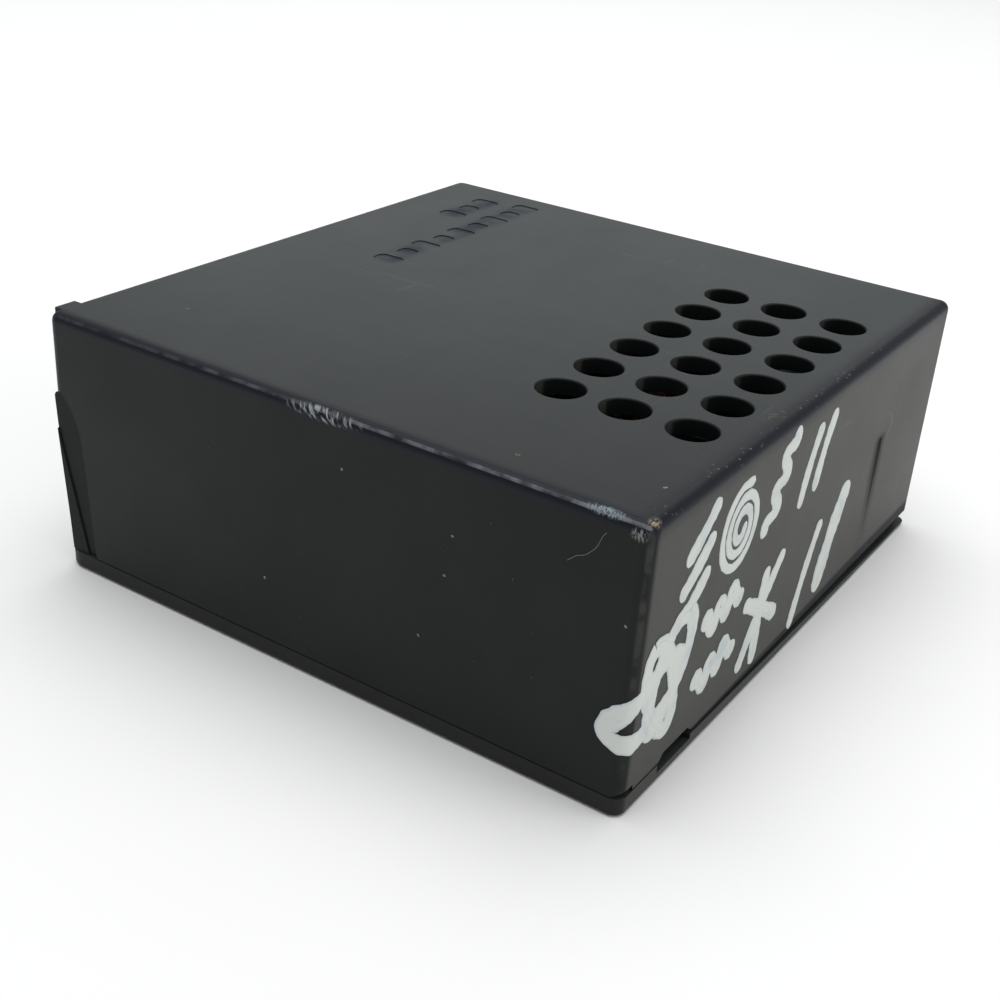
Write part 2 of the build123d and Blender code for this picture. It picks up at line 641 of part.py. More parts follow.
with BuildPart() as main_socket_contacts:
    for index in range(MAIN_CONTACTS):
        contact_y = MAIN_SOCKET_Y + (index - (MAIN_CONTACTS - 1) / 2) * MAIN_PITCH
        bent_contact(contact_y, LOWER_ROW_Z, LOWER_TAIL_X, MAIN_CONTACT_SIZE, MAIN_CONTACT_SIZE)
        bent_contact(contact_y, UPPER_ROW_Z, UPPER_TAIL_X, MAIN_CONTACT_SIZE, MAIN_CONTACT_SIZE)
save(main_socket_contacts, "main_socket_contacts")

with BuildPart() as power_socket_shroud:
    add(socket_shroud(POWER_SOCKET_Y, POWER_SOCKET_LENGTH))
save(power_socket_shroud, "power_socket_shroud")

with BuildPart() as power_socket_blades:
    for index in range(POWER_CONTACTS):
        blade_y = POWER_SOCKET_Y + (index - (POWER_CONTACTS - 1) / 2) * POWER_PITCH
        bent_contact(blade_y, BLADE_Z, BLADE_TAIL_X, BLADE_WIDTH, BLADE_THICKNESS)
save(power_socket_blades, "power_socket_blades")


# ---------------------------------------------------------------- chips
def chip_body(spot, floor_z, width, length, height):
    """Make one chip body with a notch that marks its first pin."""
    with BuildPart(mode=Mode.PRIVATE) as body:
        with Locations((*spot, floor_z + CHIP_LIFT)):
            Box(width, length, height, align=STANDING)
        chamfer(body.edges(), CHIP_CHAMFER)
        with Locations((spot[0], spot[1] + length / 2, floor_z + CHIP_LIFT + height)):
            Cylinder(CHIP_NOTCH_RADIUS, 2 * CHIP_NOTCH_DEPTH, mode=Mode.SUBTRACT)
    return body.part


def chip_leads(spot, floor_z, width, height, pins):
    """Add both rows of leads of one chip, from the body's sides down to the floor."""
    shoulder_z = floor_z + CHIP_LIFT + height / 2
    for side in (-1, 1):
        for index in range(pins):
            y = spot[1] + (index - (pins - 1) / 2) * CHIP_LEAD_PITCH
            with Locations((spot[0] + side * (width + CHIP_SHOULDER_REACH) / 2, y, shoulder_z)):
                Box(CHIP_SHOULDER_REACH, CHIP_SHOULDER_WIDTH, CHIP_LEAD_THICKNESS)
            leg_x = spot[0] + side * (width / 2 + CHIP_SHOULDER_REACH - CHIP_LEAD_THICKNESS / 2)
            with Locations((leg_x, y, floor_z)):
                Box(
                    CHIP_LEAD_THICKNESS,
                    CHIP_LEAD_WIDTH,
                    shoulder_z + CHIP_LEAD_THICKNESS / 2 - floor_z,
                    align=STANDING,
                )


socket_top_z = BOARD_Z + SOCKET_HEIGHT
with BuildPart() as processor_socket:
    with Locations((*PROCESSOR_SPOT, BOARD_Z)):
        Box(SOCKET_WIDTH, SOCKET_LENGTH, SOCKET_HEIGHT, align=STANDING)
        with GridLocations(0, SOCKET_OPENING_SPACING, 1, 2):
            Box(
                SOCKET_OPENING_WIDTH,
                SOCKET_OPENING_LENGTH,
                SOCKET_HEIGHT,
                align=STANDING,
                mode=Mode.SUBTRACT,
            )
save(processor_socket, "processor_socket")

with BuildPart() as processor:
    add(chip_body(PROCESSOR_SPOT, socket_top_z, PROCESSOR_WIDTH, PROCESSOR_LENGTH, PROCESSOR_HEIGHT))
save(processor, "processor")

with BuildPart() as processor_leads:
    chip_leads(PROCESSOR_SPOT, socket_top_z, PROCESSOR_WIDTH, PROCESSOR_HEIGHT, PROCESSOR_PINS)
save(processor_leads, "processor_leads")

with BuildPart() as driver_chips:
    for spot in DRIVER_SPOTS:
        add(chip_body(spot, BOARD_Z, SMALL_CHIP_WIDTH, DRIVER_LENGTH, SMALL_CHIP_HEIGHT))
save(driver_chips, "driver_chips")

with BuildPart() as memory_chip:
    add(chip_body(MEMORY_SPOT, BOARD_Z, SMALL_CHIP_WIDTH, MEMORY_LENGTH, SMALL_CHIP_HEIGHT))
save(memory_chip, "memory_chip")

with BuildPart() as small_chip_leads:
    for spot in DRIVER_SPOTS:
        chip_leads(spot, BOARD_Z, SMALL_CHIP_WIDTH, SMALL_CHIP_HEIGHT, DRIVER_PINS)
    chip_leads(MEMORY_SPOT, BOARD_Z, SMALL_CHIP_WIDTH, SMALL_CHIP_HEIGHT, MEMORY_PINS)
save(small_chip_leads, "small_chip_leads")

with BuildPart() as crystal_can:
    with BuildSketch(Plane.XY.offset(BOARD_Z)):
        with Locations(CRYSTAL_SPOT):
            SlotOverall(CRYSTAL_LENGTH, CRYSTAL_WIDTH, rotation=90)
    extrude(amount=CRYSTAL_HEIGHT)
    fillet(crystal_can.faces().sort_by(Axis.Z)[-1].edges(), CRYSTAL_ROUNDING)
    with BuildSketch(Plane.XY.offset(BOARD_Z)):
        with Locations(CRYSTAL_SPOT):
            SlotOverall(
                CRYSTAL_LENGTH + 2 * CRYSTAL_FLANGE, CRYSTAL_WIDTH + 2 * CRYSTAL_FLANGE, rotation=90
            )
    extrude(amount=CRYSTAL_FLANGE)
save(crystal_can, "crystal_can")

# ---------------------------------------------------------------- heat sink and power devices
sink_face_x = SINK_PLATE_X + SINK_PLATE
with BuildPart() as heat_sink:
    with BuildSketch(Plane.XY.offset(BOARD_Z)):
        with Locations((SINK_PLATE_X + SINK_PLATE / 2, 0)):
            Rectangle(SINK_PLATE, SINK_LENGTH)
        with Locations(*[((sink_face_x + FIN_TIP_X) / 2, y) for y in FIN_YS]):
            Rectangle(FIN_TIP_X - sink_face_x, FIN_THICKNESS)
    extrude(amount=SINK_HEIGHT)
    with BuildSketch(Plane.YZ.offset(SINK_PLATE_X)):
        with Locations(*[(y, BOLT_Z) for y in DEVICE_YS]):
            Circle(TAB_HOLE / 2)
    extrude(amount=SINK_PLATE, mode=Mode.SUBTRACT)
save(heat_sink, "heat_sink")

tab_x = SINK_PLATE_X - TAB_THICKNESS
with BuildPart() as device_tabs:
    with BuildSketch(Plane.YZ.offset(SINK_PLATE_X)):
        with Locations(*[(y, DEVICE_FOOT_Z + TAB_HEIGHT / 2) for y in DEVICE_YS]):
            Rectangle(DEVICE_WIDTH, TAB_HEIGHT)
        with Locations(*[(y, BOLT_Z) for y in DEVICE_YS]):
            Circle(TAB_HOLE / 2, mode=Mode.SUBTRACT)
    extrude(amount=-TAB_THICKNESS)
save(device_tabs, "device_tabs")

with BuildPart() as power_devices:
    with Locations(*[(tab_x - DEVICE_BODY_DEPTH / 2, y, DEVICE_FOOT_Z) for y in DEVICE_YS]):
        Box(DEVICE_BODY_DEPTH, DEVICE_WIDTH, DEVICE_BODY_HEIGHT, align=STANDING)
    chamfer(power_devices.faces().group_by(Axis.X)[0].edges(), CHIP_CHAMFER)
save(power_devices, "power_devices")

with BuildPart() as device_leads:
    for y in DEVICE_YS:
        with Locations((tab_x - DEVICE_BODY_DEPTH / 2, y, BOARD_Z)):
            with GridLocations(0, DEVICE_LEAD_PITCH, 1, 3):
                Box(
                    DEVICE_LEAD_THICKNESS, DEVICE_LEAD_WIDTH, DEVICE_FOOT_Z - BOARD_Z, align=STANDING
                )
save(device_leads, "device_leads")

with BuildPart() as device_bolts:
    with BuildSketch(Plane.YZ.offset(tab_x)):
        with Locations(*[(y, BOLT_Z) for y in DEVICE_YS]):
            Circle(BOLT_HEAD / 2)
    extrude(amount=-BOLT_HEAD_HEIGHT)
    fillet(device_bolts.edges().group_by(Axis.X)[0], BOLT_HEAD_HEIGHT / 2)
    with BuildSketch(Plane.YZ.offset(tab_x)):
        with Locations(*[(y, BOLT_Z) for y in DEVICE_YS]):
            Circle(BOLT_SHANK / 2)
    extrude(amount=BOLT_TIP_X - tab_x)
    with Locations(*[(tab_x - BOLT_HEAD_HEIGHT, y, BOLT_Z) for y in DEVICE_YS]):
        Box(2 * RECESS_DEPTH, RECESS_LENGTH, RECESS_WIDTH, mode=Mode.SUBTRACT)
        Box(2 * RECESS_DEPTH, RECESS_WIDTH, RECESS_LENGTH, mode=Mode.SUBTRACT)
save(device_bolts, "device_bolts")

with BuildPart() as device_nuts:
    with BuildSketch(Plane.YZ.offset(sink_face_x)):
        with Locations(*[(y, BOLT_Z) for y in DEVICE_YS]):
            RegularPolygon(NUT_ACROSS_FLATS / 2, 6, major_radius=False)
            Circle(NUT_BORE / 2, mode=Mode.SUBTRACT)
    extrude(amount=NUT_HEIGHT)
save(device_nuts, "device_nuts")


# ---------------------------------------------------------------- electrolytic capacitors
def capacitor_can(x, y, diameter, height):
    """Make one aluminium can with a scored top."""
    with BuildPart(mode=Mode.PRIVATE) as can:
        with Locations((x, y, BOARD_Z)):
            Cylinder(diameter / 2 - SLEEVE_THICKNESS, height, align=STANDING)
        with Locations((x, y, BOARD_Z + height)):
            Box(diameter, CAN_SCORE_WIDTH, 2 * CAN_SCORE_DEPTH, mode=Mode.SUBTRACT)
            Box(CAN_SCORE_WIDTH, diameter, 2 * CAN_SCORE_DEPTH, mode=Mode.SUBTRACT)
    return can.part


def capacitor_sleeve(x, y, diameter, height):
    """Make one printed sleeve: a thin tube around the can, turned over its top edge."""
    with BuildPart(mode=Mode.PRIVATE) as sleeve:
        with Locations((x, y, BOARD_Z)):
            Cylinder(diameter / 2, height + SLEEVE_THICKNESS, align=STANDING)
        fillet(sleeve.edges().group_by(Axis.Z)[-1], SLEEVE_LIP)
        with Locations((x, y, BOARD_Z)):
            Cylinder(diameter / 2 - SLEEVE_THICKNESS, height, align=STANDING, mode=Mode.SUBTRACT)
            Cylinder(
                diameter / 2 - SLEEVE_THICKNESS - 2 * SLEEVE_LIP,
                height + SLEEVE_THICKNESS,
                align=STANDING,
                mode=Mode.SUBTRACT,
            )
    return sleeve.part


for sizes, group in ((LARGE_CAPACITORS, "large"), (SMALL_CAPACITORS, "small")):
    with BuildPart() as cans:
        for size in sizes:
            add(capacitor_can(*size))
    save(cans, f"{group}_capacitor_cans")
    with BuildPart() as sleeves:
        for size in sizes:
            add(capacitor_sleeve(*size))
    save(sleeves, f"{group}_capacitor_sleeves")

# ---------------------------------------------------------------- film, ceramic and surge parts
with BuildPart() as film_capacitors:
    with Locations(*spots_at(FILM_SPOTS, BOARD_Z)):
        Box(FILM_THICKNESS, FILM_LENGTH, FILM_HEIGHT, align=STANDING)
    fillet(film_capacitors.edges().filter_by(Axis.Z), FILM_ROUNDING)
save(film_capacitors, "film_capacitors")

disc_centre_z = BOARD_Z + DISC_LIFT + DISC_DIAMETER / 2
with BuildPart() as ceramic_capacitors:
    for x, y in DISC_SPOTS:
        with Locations(Location((x, y, disc_centre_z), (90, 0, 0))):
            Cylinder(DISC_DIAMETER / 2, DISC_THICKNESS)
    fillet(ceramic_capacitors.edges().filter_by(GeomType.CIRCLE), DISC_THICKNESS / 3)
save(ceramic_capacitors, "ceramic_capacitors")

surge_centre_z = BOARD_Z + DISC_LIFT + SURGE_DIAMETER / 2
with BuildPart() as surge_disc:
    with Locations(Location((*SURGE_SPOT, surge_centre_z), (0, 90, 0))):
        Cylinder(SURGE_DIAMETER / 2, SURGE_THICKNESS)
    fillet(surge_disc.edges().filter_by(GeomType.CIRCLE), SURGE_THICKNESS / 3)
save(surge_disc, "surge_disc")


def disc_leg_height(diameter, spacing):
    """Length of a leg that meets a disc's rim at half the leads' spacing."""
    radius = diameter / 2
    return DISC_LIFT + radius - (radius**2 - (spacing / 2 + LEAD_DIAMETER / 2) ** 2) ** 0.5


with BuildPart() as disc_leads:
    with Locations(*spots_at(DISC_SPOTS, BOARD_Z)):
        with GridLocations(DISC_LEAD_SPACING, 0, 2, 1):
            Cylinder(
                LEAD_DIAMETER / 2, disc_leg_height(DISC_DIAMETER, DISC_LEAD_SPACING), align=STANDING
            )
    with Locations((*SURGE_SPOT, BOARD_Z)):
        with GridLocations(0, SURGE_LEAD_SPACING, 1, 2):
            Cylinder(
                LEAD_DIAMETER / 2,
                disc_leg_height(SURGE_DIAMETER, SURGE_LEAD_SPACING),
                align=STANDING,
            )
    for x, y in DISC_SPOTS:
        with Locations(Location((x, y, disc_centre_z), (90, 0, 0))):
            Cylinder(DISC_DIAMETER / 2, DISC_THICKNESS, mode=Mode.SUBTRACT)
    with Locations(Location((*SURGE_SPOT, surge_centre_z), (0, 90, 0))):
        Cylinder(SURGE_DIAMETER / 2, SURGE_THICKNESS, mode=Mode.SUBTRACT)
save(disc_leads, "disc_leads")

# ---------------------------------------------------------------- resistors and diodes
resistor_spots = [
    (RESISTOR_COLUMN_X, RESISTOR_FIRST_Y + index * RESISTOR_STEP) for index in range(RESISTOR_COUNT)
]
resistor_axis_z = BOARD_Z + AXIAL_LIFT + RESISTOR_CAP_DIAMETER / 2
diode_axis_z = BOARD_Z + AXIAL_LIFT + DIODE_DIAMETER / 2
ALONG_X = (0, 90, 0)
ALONG_Y = (90, 0, 0)


def resistor_body(x, y, direction):
    """Make one resistor: a waisted cylinder with a fuller end cap at each end."""
    with BuildPart(Location((x, y, resistor_axis_z), direction), mode=Mode.PRIVATE) as body:
        Cylinder(RESISTOR_DIAMETER / 2, RESISTOR_LENGTH)
        cap_shift = (RESISTOR_LENGTH - RESISTOR_CAP_LENGTH) / 2
        with Locations((0, 0, -cap_shift), (0, 0, cap_shift)):
            Cylinder(RESISTOR_CAP_DIAMETER / 2, RESISTOR_CAP_LENGTH)
    return body.part


def axial_leads(spot, axis_z, body_length, along_x):
    """Add both leads of one axial part: out from each end, then down to the board."""
    reach = (AXIAL_LEG_SPACING - body_length) / 2 + LEAD_DIAMETER / 2
    for side in (-1, 1):
        shift = side * (body_length + reach) / 2
        leg = side * AXIAL_LEG_SPACING / 2
        step = (shift, 0) if along_x else (0, shift)
        foot = (leg, 0) if along_x else (0, leg)
        with Locations((spot[0] + step[0], spot[1] + step[1], axis_z)):
            Cylinder(LEAD_DIAMETER / 2, reach, rotation=ALONG_X if along_x else ALONG_Y)
        with Locations((spot[0] + foot[0], spot[1] + foot[1], BOARD_Z)):
            Cylinder(LEAD_DIAMETER / 2, axis_z - BOARD_Z, align=STANDING)


with BuildPart() as resistors:
    for spot in resistor_spots:
        add(resistor_body(*spot, ALONG_X))
    for spot in CROSS_RESISTOR_SPOTS:
        add(resistor_body(*spot, ALONG_Y))
save(resistors, "resistors")

with BuildPart() as diodes:
    with Locations(*spots_at(DIODE_SPOTS, diode_axis_z)):
        Cylinder(DIODE_DIAMETER / 2, DIODE_LENGTH, rotation=ALONG_X)
    chamfer(diodes.edges().filter_by(GeomType.CIRCLE), CHIP_CHAMFER)
save(diodes, "diodes")

with BuildPart() as axial_part_leads:
    for spot in resistor_spots:
        axial_leads(spot, resistor_axis_z, RESISTOR_LENGTH, True)
    for spot in CROSS_RESISTOR_SPOTS:
        axial_leads(spot, resistor_axis_z, RESISTOR_LENGTH, False)
    for spot in DIODE_SPOTS:
        axial_leads(spot, diode_axis_z, DIODE_LENGTH, True)
save(axial_part_leads, "axial_part_leads")

# ---------------------------------------------------------------- small transistors
with BuildPart() as transistors:
    with BuildSketch(Plane.XY.offset(BOARD_Z + TRANSISTOR_LIFT)):
        with Locations(*TRANSISTOR_SPOTS):
            Circle(TRANSISTOR_RADIUS)
        with Locations(*[(x, y - TRANSISTOR_RADIUS - TRANSISTOR_FLAT) for x, y in TRANSISTOR_SPOTS]):
            Rectangle(2 * TRANSISTOR_RADIUS, 2 * TRANSISTOR_RADIUS, mode=Mode.SUBTRACT)
    extrude(amount=TRANSISTOR_HEIGHT)
    fillet(transistors.faces().group_by(Axis.Z)[-1].edges(), CHIP_CHAMFER)
save(transistors, "transistors")

with BuildPart() as transistor_leads:
    with Locations(*spots_at(TRANSISTOR_SPOTS, BOARD_Z)):
        with GridLocations(TRANSISTOR_LEAD_PITCH, 0, 3, 1):
            Box(CHIP_LEAD_WIDTH, CHIP_LEAD_WIDTH, TRANSISTOR_LIFT, align=STANDING)
save(transistor_leads, "transistor_leads")

# ---------------------------------------------------------------- ring choke
choke_foot_z = BOARD_Z + CHOKE_LIFT
choke_middle = (CHOKE_INNER + CHOKE_OUTER) / 4
choke_band = (CHOKE_OUTER - CHOKE_INNER) / 2
with BuildPart() as choke_core:
    with Locations((*CHOKE_SPOT, choke_foot_z)):
        Cylinder(CHOKE_OUTER / 2, CHOKE_HEIGHT, align=STANDING)
        Cylinder(CHOKE_INNER / 2, CHOKE_HEIGHT, align=STANDING, mode=Mode.SUBTRACT)
save(choke_core, "choke_core")

choke_axis = Axis((*CHOKE_SPOT, choke_foot_z), (0, 0, 1))
choke_section = Plane(origin=(*CHOKE_SPOT, choke_foot_z), x_dir=(1, 0, 0), z_dir=(0, -1, 0))
with BuildPart() as choke_winding:
    with BuildSketch(choke_section):
        with Locations((choke_middle, CHOKE_HEIGHT / 2)):
            Rectangle(choke_band + 2 * CHOKE_WIRE, CHOKE_HEIGHT + 2 * CHOKE_WIRE)
            Rectangle(choke_band, CHOKE_HEIGHT, mode=Mode.SUBTRACT)
    revolve(axis=choke_axis, revolution_arc=CHOKE_WOUND_ANGLE)
save(choke_winding, "choke_winding")

# ---------------------------------------------------------------- relays
relay_base_top_z = BOARD_Z + RELAY_BASE_HEIGHT
bobbin_top_z = relay_base_top_z + BOBBIN_HEIGHT
pole_top_z = bobbin_top_z + POLE_HEIGHT
armature_z = pole_top_z + ARMATURE_GAP  # underside when released
coil_spots = [(x + COIL_OFFSET_X, y) for x, y in RELAY_SPOTS]
moving_contact_z = armature_z - CONTACT_HEIGHT
lower_contact_z = moving_contact_z - CONTACT_TRAVEL - CONTACT_HEIGHT
upper_contact_z = armature_z + LEAF_THICKNESS + CONTACT_HEIGHT + HINGE_GAP

with BuildPart() as relay_bases:
    with Locations(*spots_at(RELAY_SPOTS, BOARD_Z)):
        Box(RELAY_BASE_LENGTH, RELAY_BASE_WIDTH, RELAY_BASE_HEIGHT, align=STANDING)
    fillet(relay_bases.edges().filter_by(Axis.Z), FILM_ROUNDING)
save(relay_bases, "relay_bases")

with BuildPart() as relay_bobbins:
    with Locations(*spots_at(coil_spots, relay_base_top_z)):
        Cylinder(BOBBIN_DIAMETER / 2, BOBBIN_FLANGE, align=STANDING)
        Cylinder(BOBBIN_TUBE / 2, BOBBIN_HEIGHT, align=STANDING)
    with Locations(*spots_at(coil_spots, bobbin_top_z)):
        Cylinder(BOBBIN_DIAMETER / 2, BOBBIN_FLANGE, align=HANGING)
    with Locations(*spots_at(coil_spots, relay_base_top_z)):
        Cylinder(CORE_DIAMETER / 2, BOBBIN_HEIGHT, align=STANDING, mode=Mode.SUBTRACT)
save(relay_bobbins, "relay_bobbins")

with BuildPart() as relay_coils:
    with Locations(*spots_at(coil_spots, relay_base_top_z + BOBBIN_FLANGE)):
        Cylinder(COIL_DIAMETER / 2, BOBBIN_HEIGHT - 2 * BOBBIN_FLANGE, align=STANDING)
        Cylinder(
            BOBBIN_TUBE / 2, BOBBIN_HEIGHT - 2 * BOBBIN_FLANGE, align=STANDING, mode=Mode.SUBTRACT
        )
save(relay_coils, "relay_coils")

with BuildPart() as relay_cores:
    with Locations(*spots_at(coil_spots, relay_base_top_z)):
        Cylinder(CORE_DIAMETER / 2, BOBBIN_HEIGHT, align=STANDING)
    with Locations(*spots_at(coil_spots, bobbin_top_z)):
        Cylinder(POLE_DIAMETER / 2, POLE_HEIGHT, align=STANDING)
save(relay_cores, "relay_cores")

with BuildPart() as relay_yokes:
    with Locations(*[(x + YOKE_OFFSET_X, y, relay_base_top_z) for x, y in RELAY_SPOTS]):
        Box(
            YOKE_THICKNESS,
            YOKE_WIDTH,
            armature_z - HINGE_GAP - relay_base_top_z,
            align=STANDING,
        )
save(relay_yokes, "relay_yokes")

with BuildPart() as relay_contact_posts:
    for x, y in RELAY_SPOTS:
        for side, level in ((-1, lower_contact_z), (1, upper_contact_z)):
            post_y = y + side * (LEAF_WIDTH + POST_WIDTH) / 2
            arm_length = POST_OFFSET_X - CONTACT_OFFSET_X + CONTACT_DIAMETER / 2
            arm_x = x + POST_OFFSET_X - arm_length / 2
            arm_y = y + side * (LEAF_WIDTH / 2 + POST_WIDTH - POST_ARM_SPAN / 2)
            with Locations((x + POST_OFFSET_X - POST_THICKNESS / 2, post_y, relay_base_top_z)):
                Box(
                    POST_THICKNESS,
                    POST_WIDTH,
                    level + CONTACT_HEIGHT - relay_base_top_z,
                    align=STANDING,
                )
            with Locations((arm_x, arm_y, level)):
                Box(arm_length, POST_ARM_SPAN, CONTACT_HEIGHT, align=STANDING)
save(relay_contact_posts, "relay_contact_posts")


def armature(x, y):
    """Make one armature: a hinged plate, a spring leaf beyond it and a contact on the leaf."""
    plate_low_x = x + YOKE_OFFSET_X - YOKE_THICKNESS / 2
    plate_high_x = plate_low_x + ARMATURE_REACH
    with BuildPart(mode=Mode.PRIVATE) as moving:
        with Locations((plate_low_x + ARMATURE_REACH / 2, y, armature_z)):
            Box(ARMATURE_REACH, YOKE_WIDTH, ARMATURE_THICKNESS, align=STANDING)
        fillet(moving.edges().filter_by(Axis.Z), FILM_ROUNDING)
        leaf_high_x = x + CONTACT_OFFSET_X + CONTACT_DIAMETER / 2
        with Locations(((plate_high_x + leaf_high_x) / 2, y, armature_z)):
            Box(leaf_high_x - plate_high_x, LEAF_WIDTH, LEAF_THICKNESS, align=STANDING)
        with Locations((x + CONTACT_OFFSET_X, y, armature_z)):
            Cylinder(CONTACT_DIAMETER / 2, CONTACT_HEIGHT, align=HANGING)
        with Locations((x + CONTACT_OFFSET_X, y, armature_z + LEAF_THICKNESS)):
            Cylinder(CONTACT_DIAMETER / 2, CONTACT_HEIGHT, align=STANDING)
    return moving.part


for name, relay_spot in zip(("relay_armature_a", "relay_armature_b"), RELAY_SPOTS):
    with BuildPart() as relay_armature:
        add(armature(*relay_spot))
    save(relay_armature, name)

# ---------------------------------------------------------------- reset button
button_top_z = BOARD_Z + BUTTON_HEIGHT
plunger_foot_z = button_top_z - PLUNGER_FOOT
with BuildPart() as reset_button_body:
    with Locations((*BUTTON_SPOT, BOARD_Z)):
        Box(BUTTON_BODY, BUTTON_BODY, BUTTON_HEIGHT - BUTTON_PLATE, align=STANDING)
    chamfer(reset_button_body.edges().filter_by(Axis.Z), CHIP_CHAMFER)
    with Locations((*BUTTON_SPOT, plunger_foot_z - PLUNGER_CLEARANCE)):
        Cylinder(BUTTON_WELL / 2, BUTTON_HEIGHT, align=STANDING, mode=Mode.SUBTRACT)
save(reset_button_body, "reset_button_body")

with BuildPart() as reset_button_plate:
    with BuildSketch(Plane.XY.offset(button_top_z - BUTTON_PLATE)):
        with Locations(BUTTON_SPOT):
            Rectangle(BUTTON_BODY, BUTTON_BODY)
            Circle(BUTTON_WELL / 2, mode=Mode.SUBTRACT)
    extrude(amount=BUTTON_PLATE)
save(reset_button_plate, "reset_button_plate")

with BuildPart() as reset_button_plunger:
    with Locations((*BUTTON_SPOT, plunger_foot_z)):
        Cylinder(PLUNGER_DIAMETER / 2, PLUNGER_FOOT + PLUNGER_RISE, align=STANDING)
    chamfer(reset_button_plunger.edges().group_by(Axis.Z)[-1], CHIP_CHAMFER)
save(reset_button_plunger, "reset_button_plunger")

# ---------------------------------------------------------------- trimmer
trimmer_top_z = BOARD_Z + TRIMMER_HEIGHT
rotor_foot_z = trimmer_top_z - TRIMMER_WELL_DEPTH + ROTOR_GAP
with BuildPart() as trimmer_body:
    with Locations((*TRIMMER_SPOT, BOARD_Z)):
        Box(TRIMMER_BODY, TRIMMER_BODY, TRIMMER_HEIGHT, align=STANDING)
    fillet(trimmer_body.edges().filter_by(Axis.Z), FILM_ROUNDING)
    with Locations((*TRIMMER_SPOT, trimmer_top_z)):
        Cylinder(TRIMMER_WELL / 2, 2 * TRIMMER_WELL_DEPTH, mode=Mode.SUBTRACT)
save(trimmer_body, "trimmer_body")

with BuildPart() as trimmer_rotor:
    with Locations((*TRIMMER_SPOT, rotor_foot_z)):
        Cylinder(ROTOR_DIAMETER / 2, ROTOR_HEIGHT, align=STANDING)
    with Locations((*TRIMMER_SPOT, rotor_foot_z + ROTOR_HEIGHT)):
        Box(ROTOR_DIAMETER, ROTOR_SLOT_WIDTH, 2 * ROTOR_SLOT_DEPTH, mode=Mode.SUBTRACT)
save(trimmer_rotor, "trimmer_rotor")
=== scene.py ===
"""Looks of the boxed single board controller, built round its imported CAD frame."""

import json
import math
import random

import bpy
from mathutils import Matrix, Vector


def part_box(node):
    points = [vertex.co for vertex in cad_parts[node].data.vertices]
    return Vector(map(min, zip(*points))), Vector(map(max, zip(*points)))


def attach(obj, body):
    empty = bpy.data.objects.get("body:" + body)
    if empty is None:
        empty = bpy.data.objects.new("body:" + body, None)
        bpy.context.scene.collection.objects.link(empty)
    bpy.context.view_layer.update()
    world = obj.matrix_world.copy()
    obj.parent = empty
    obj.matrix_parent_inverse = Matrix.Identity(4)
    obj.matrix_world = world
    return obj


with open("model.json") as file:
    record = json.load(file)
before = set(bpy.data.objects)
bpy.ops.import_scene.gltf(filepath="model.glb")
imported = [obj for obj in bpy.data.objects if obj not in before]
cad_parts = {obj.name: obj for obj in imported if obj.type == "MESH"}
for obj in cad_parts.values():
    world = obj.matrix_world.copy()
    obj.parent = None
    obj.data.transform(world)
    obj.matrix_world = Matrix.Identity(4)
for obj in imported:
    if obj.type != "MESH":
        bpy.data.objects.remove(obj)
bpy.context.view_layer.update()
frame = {"nodes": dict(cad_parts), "record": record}

MM = 0.001
cover_low, cover_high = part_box("cover")
ROOF_Z = cover_high.z / MM
FOOT_Z = cover_low.z / MM  # lower edge of the cover
END_X = cover_high.x / MM  # outer face of the closed end
SIDE_Y = -cover_low.y / MM  # outer face of each long side
CORNER_RADIUS = 1.8  # of the cover's upright edges
BOARD_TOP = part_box("circuit_board")[1].z / MM


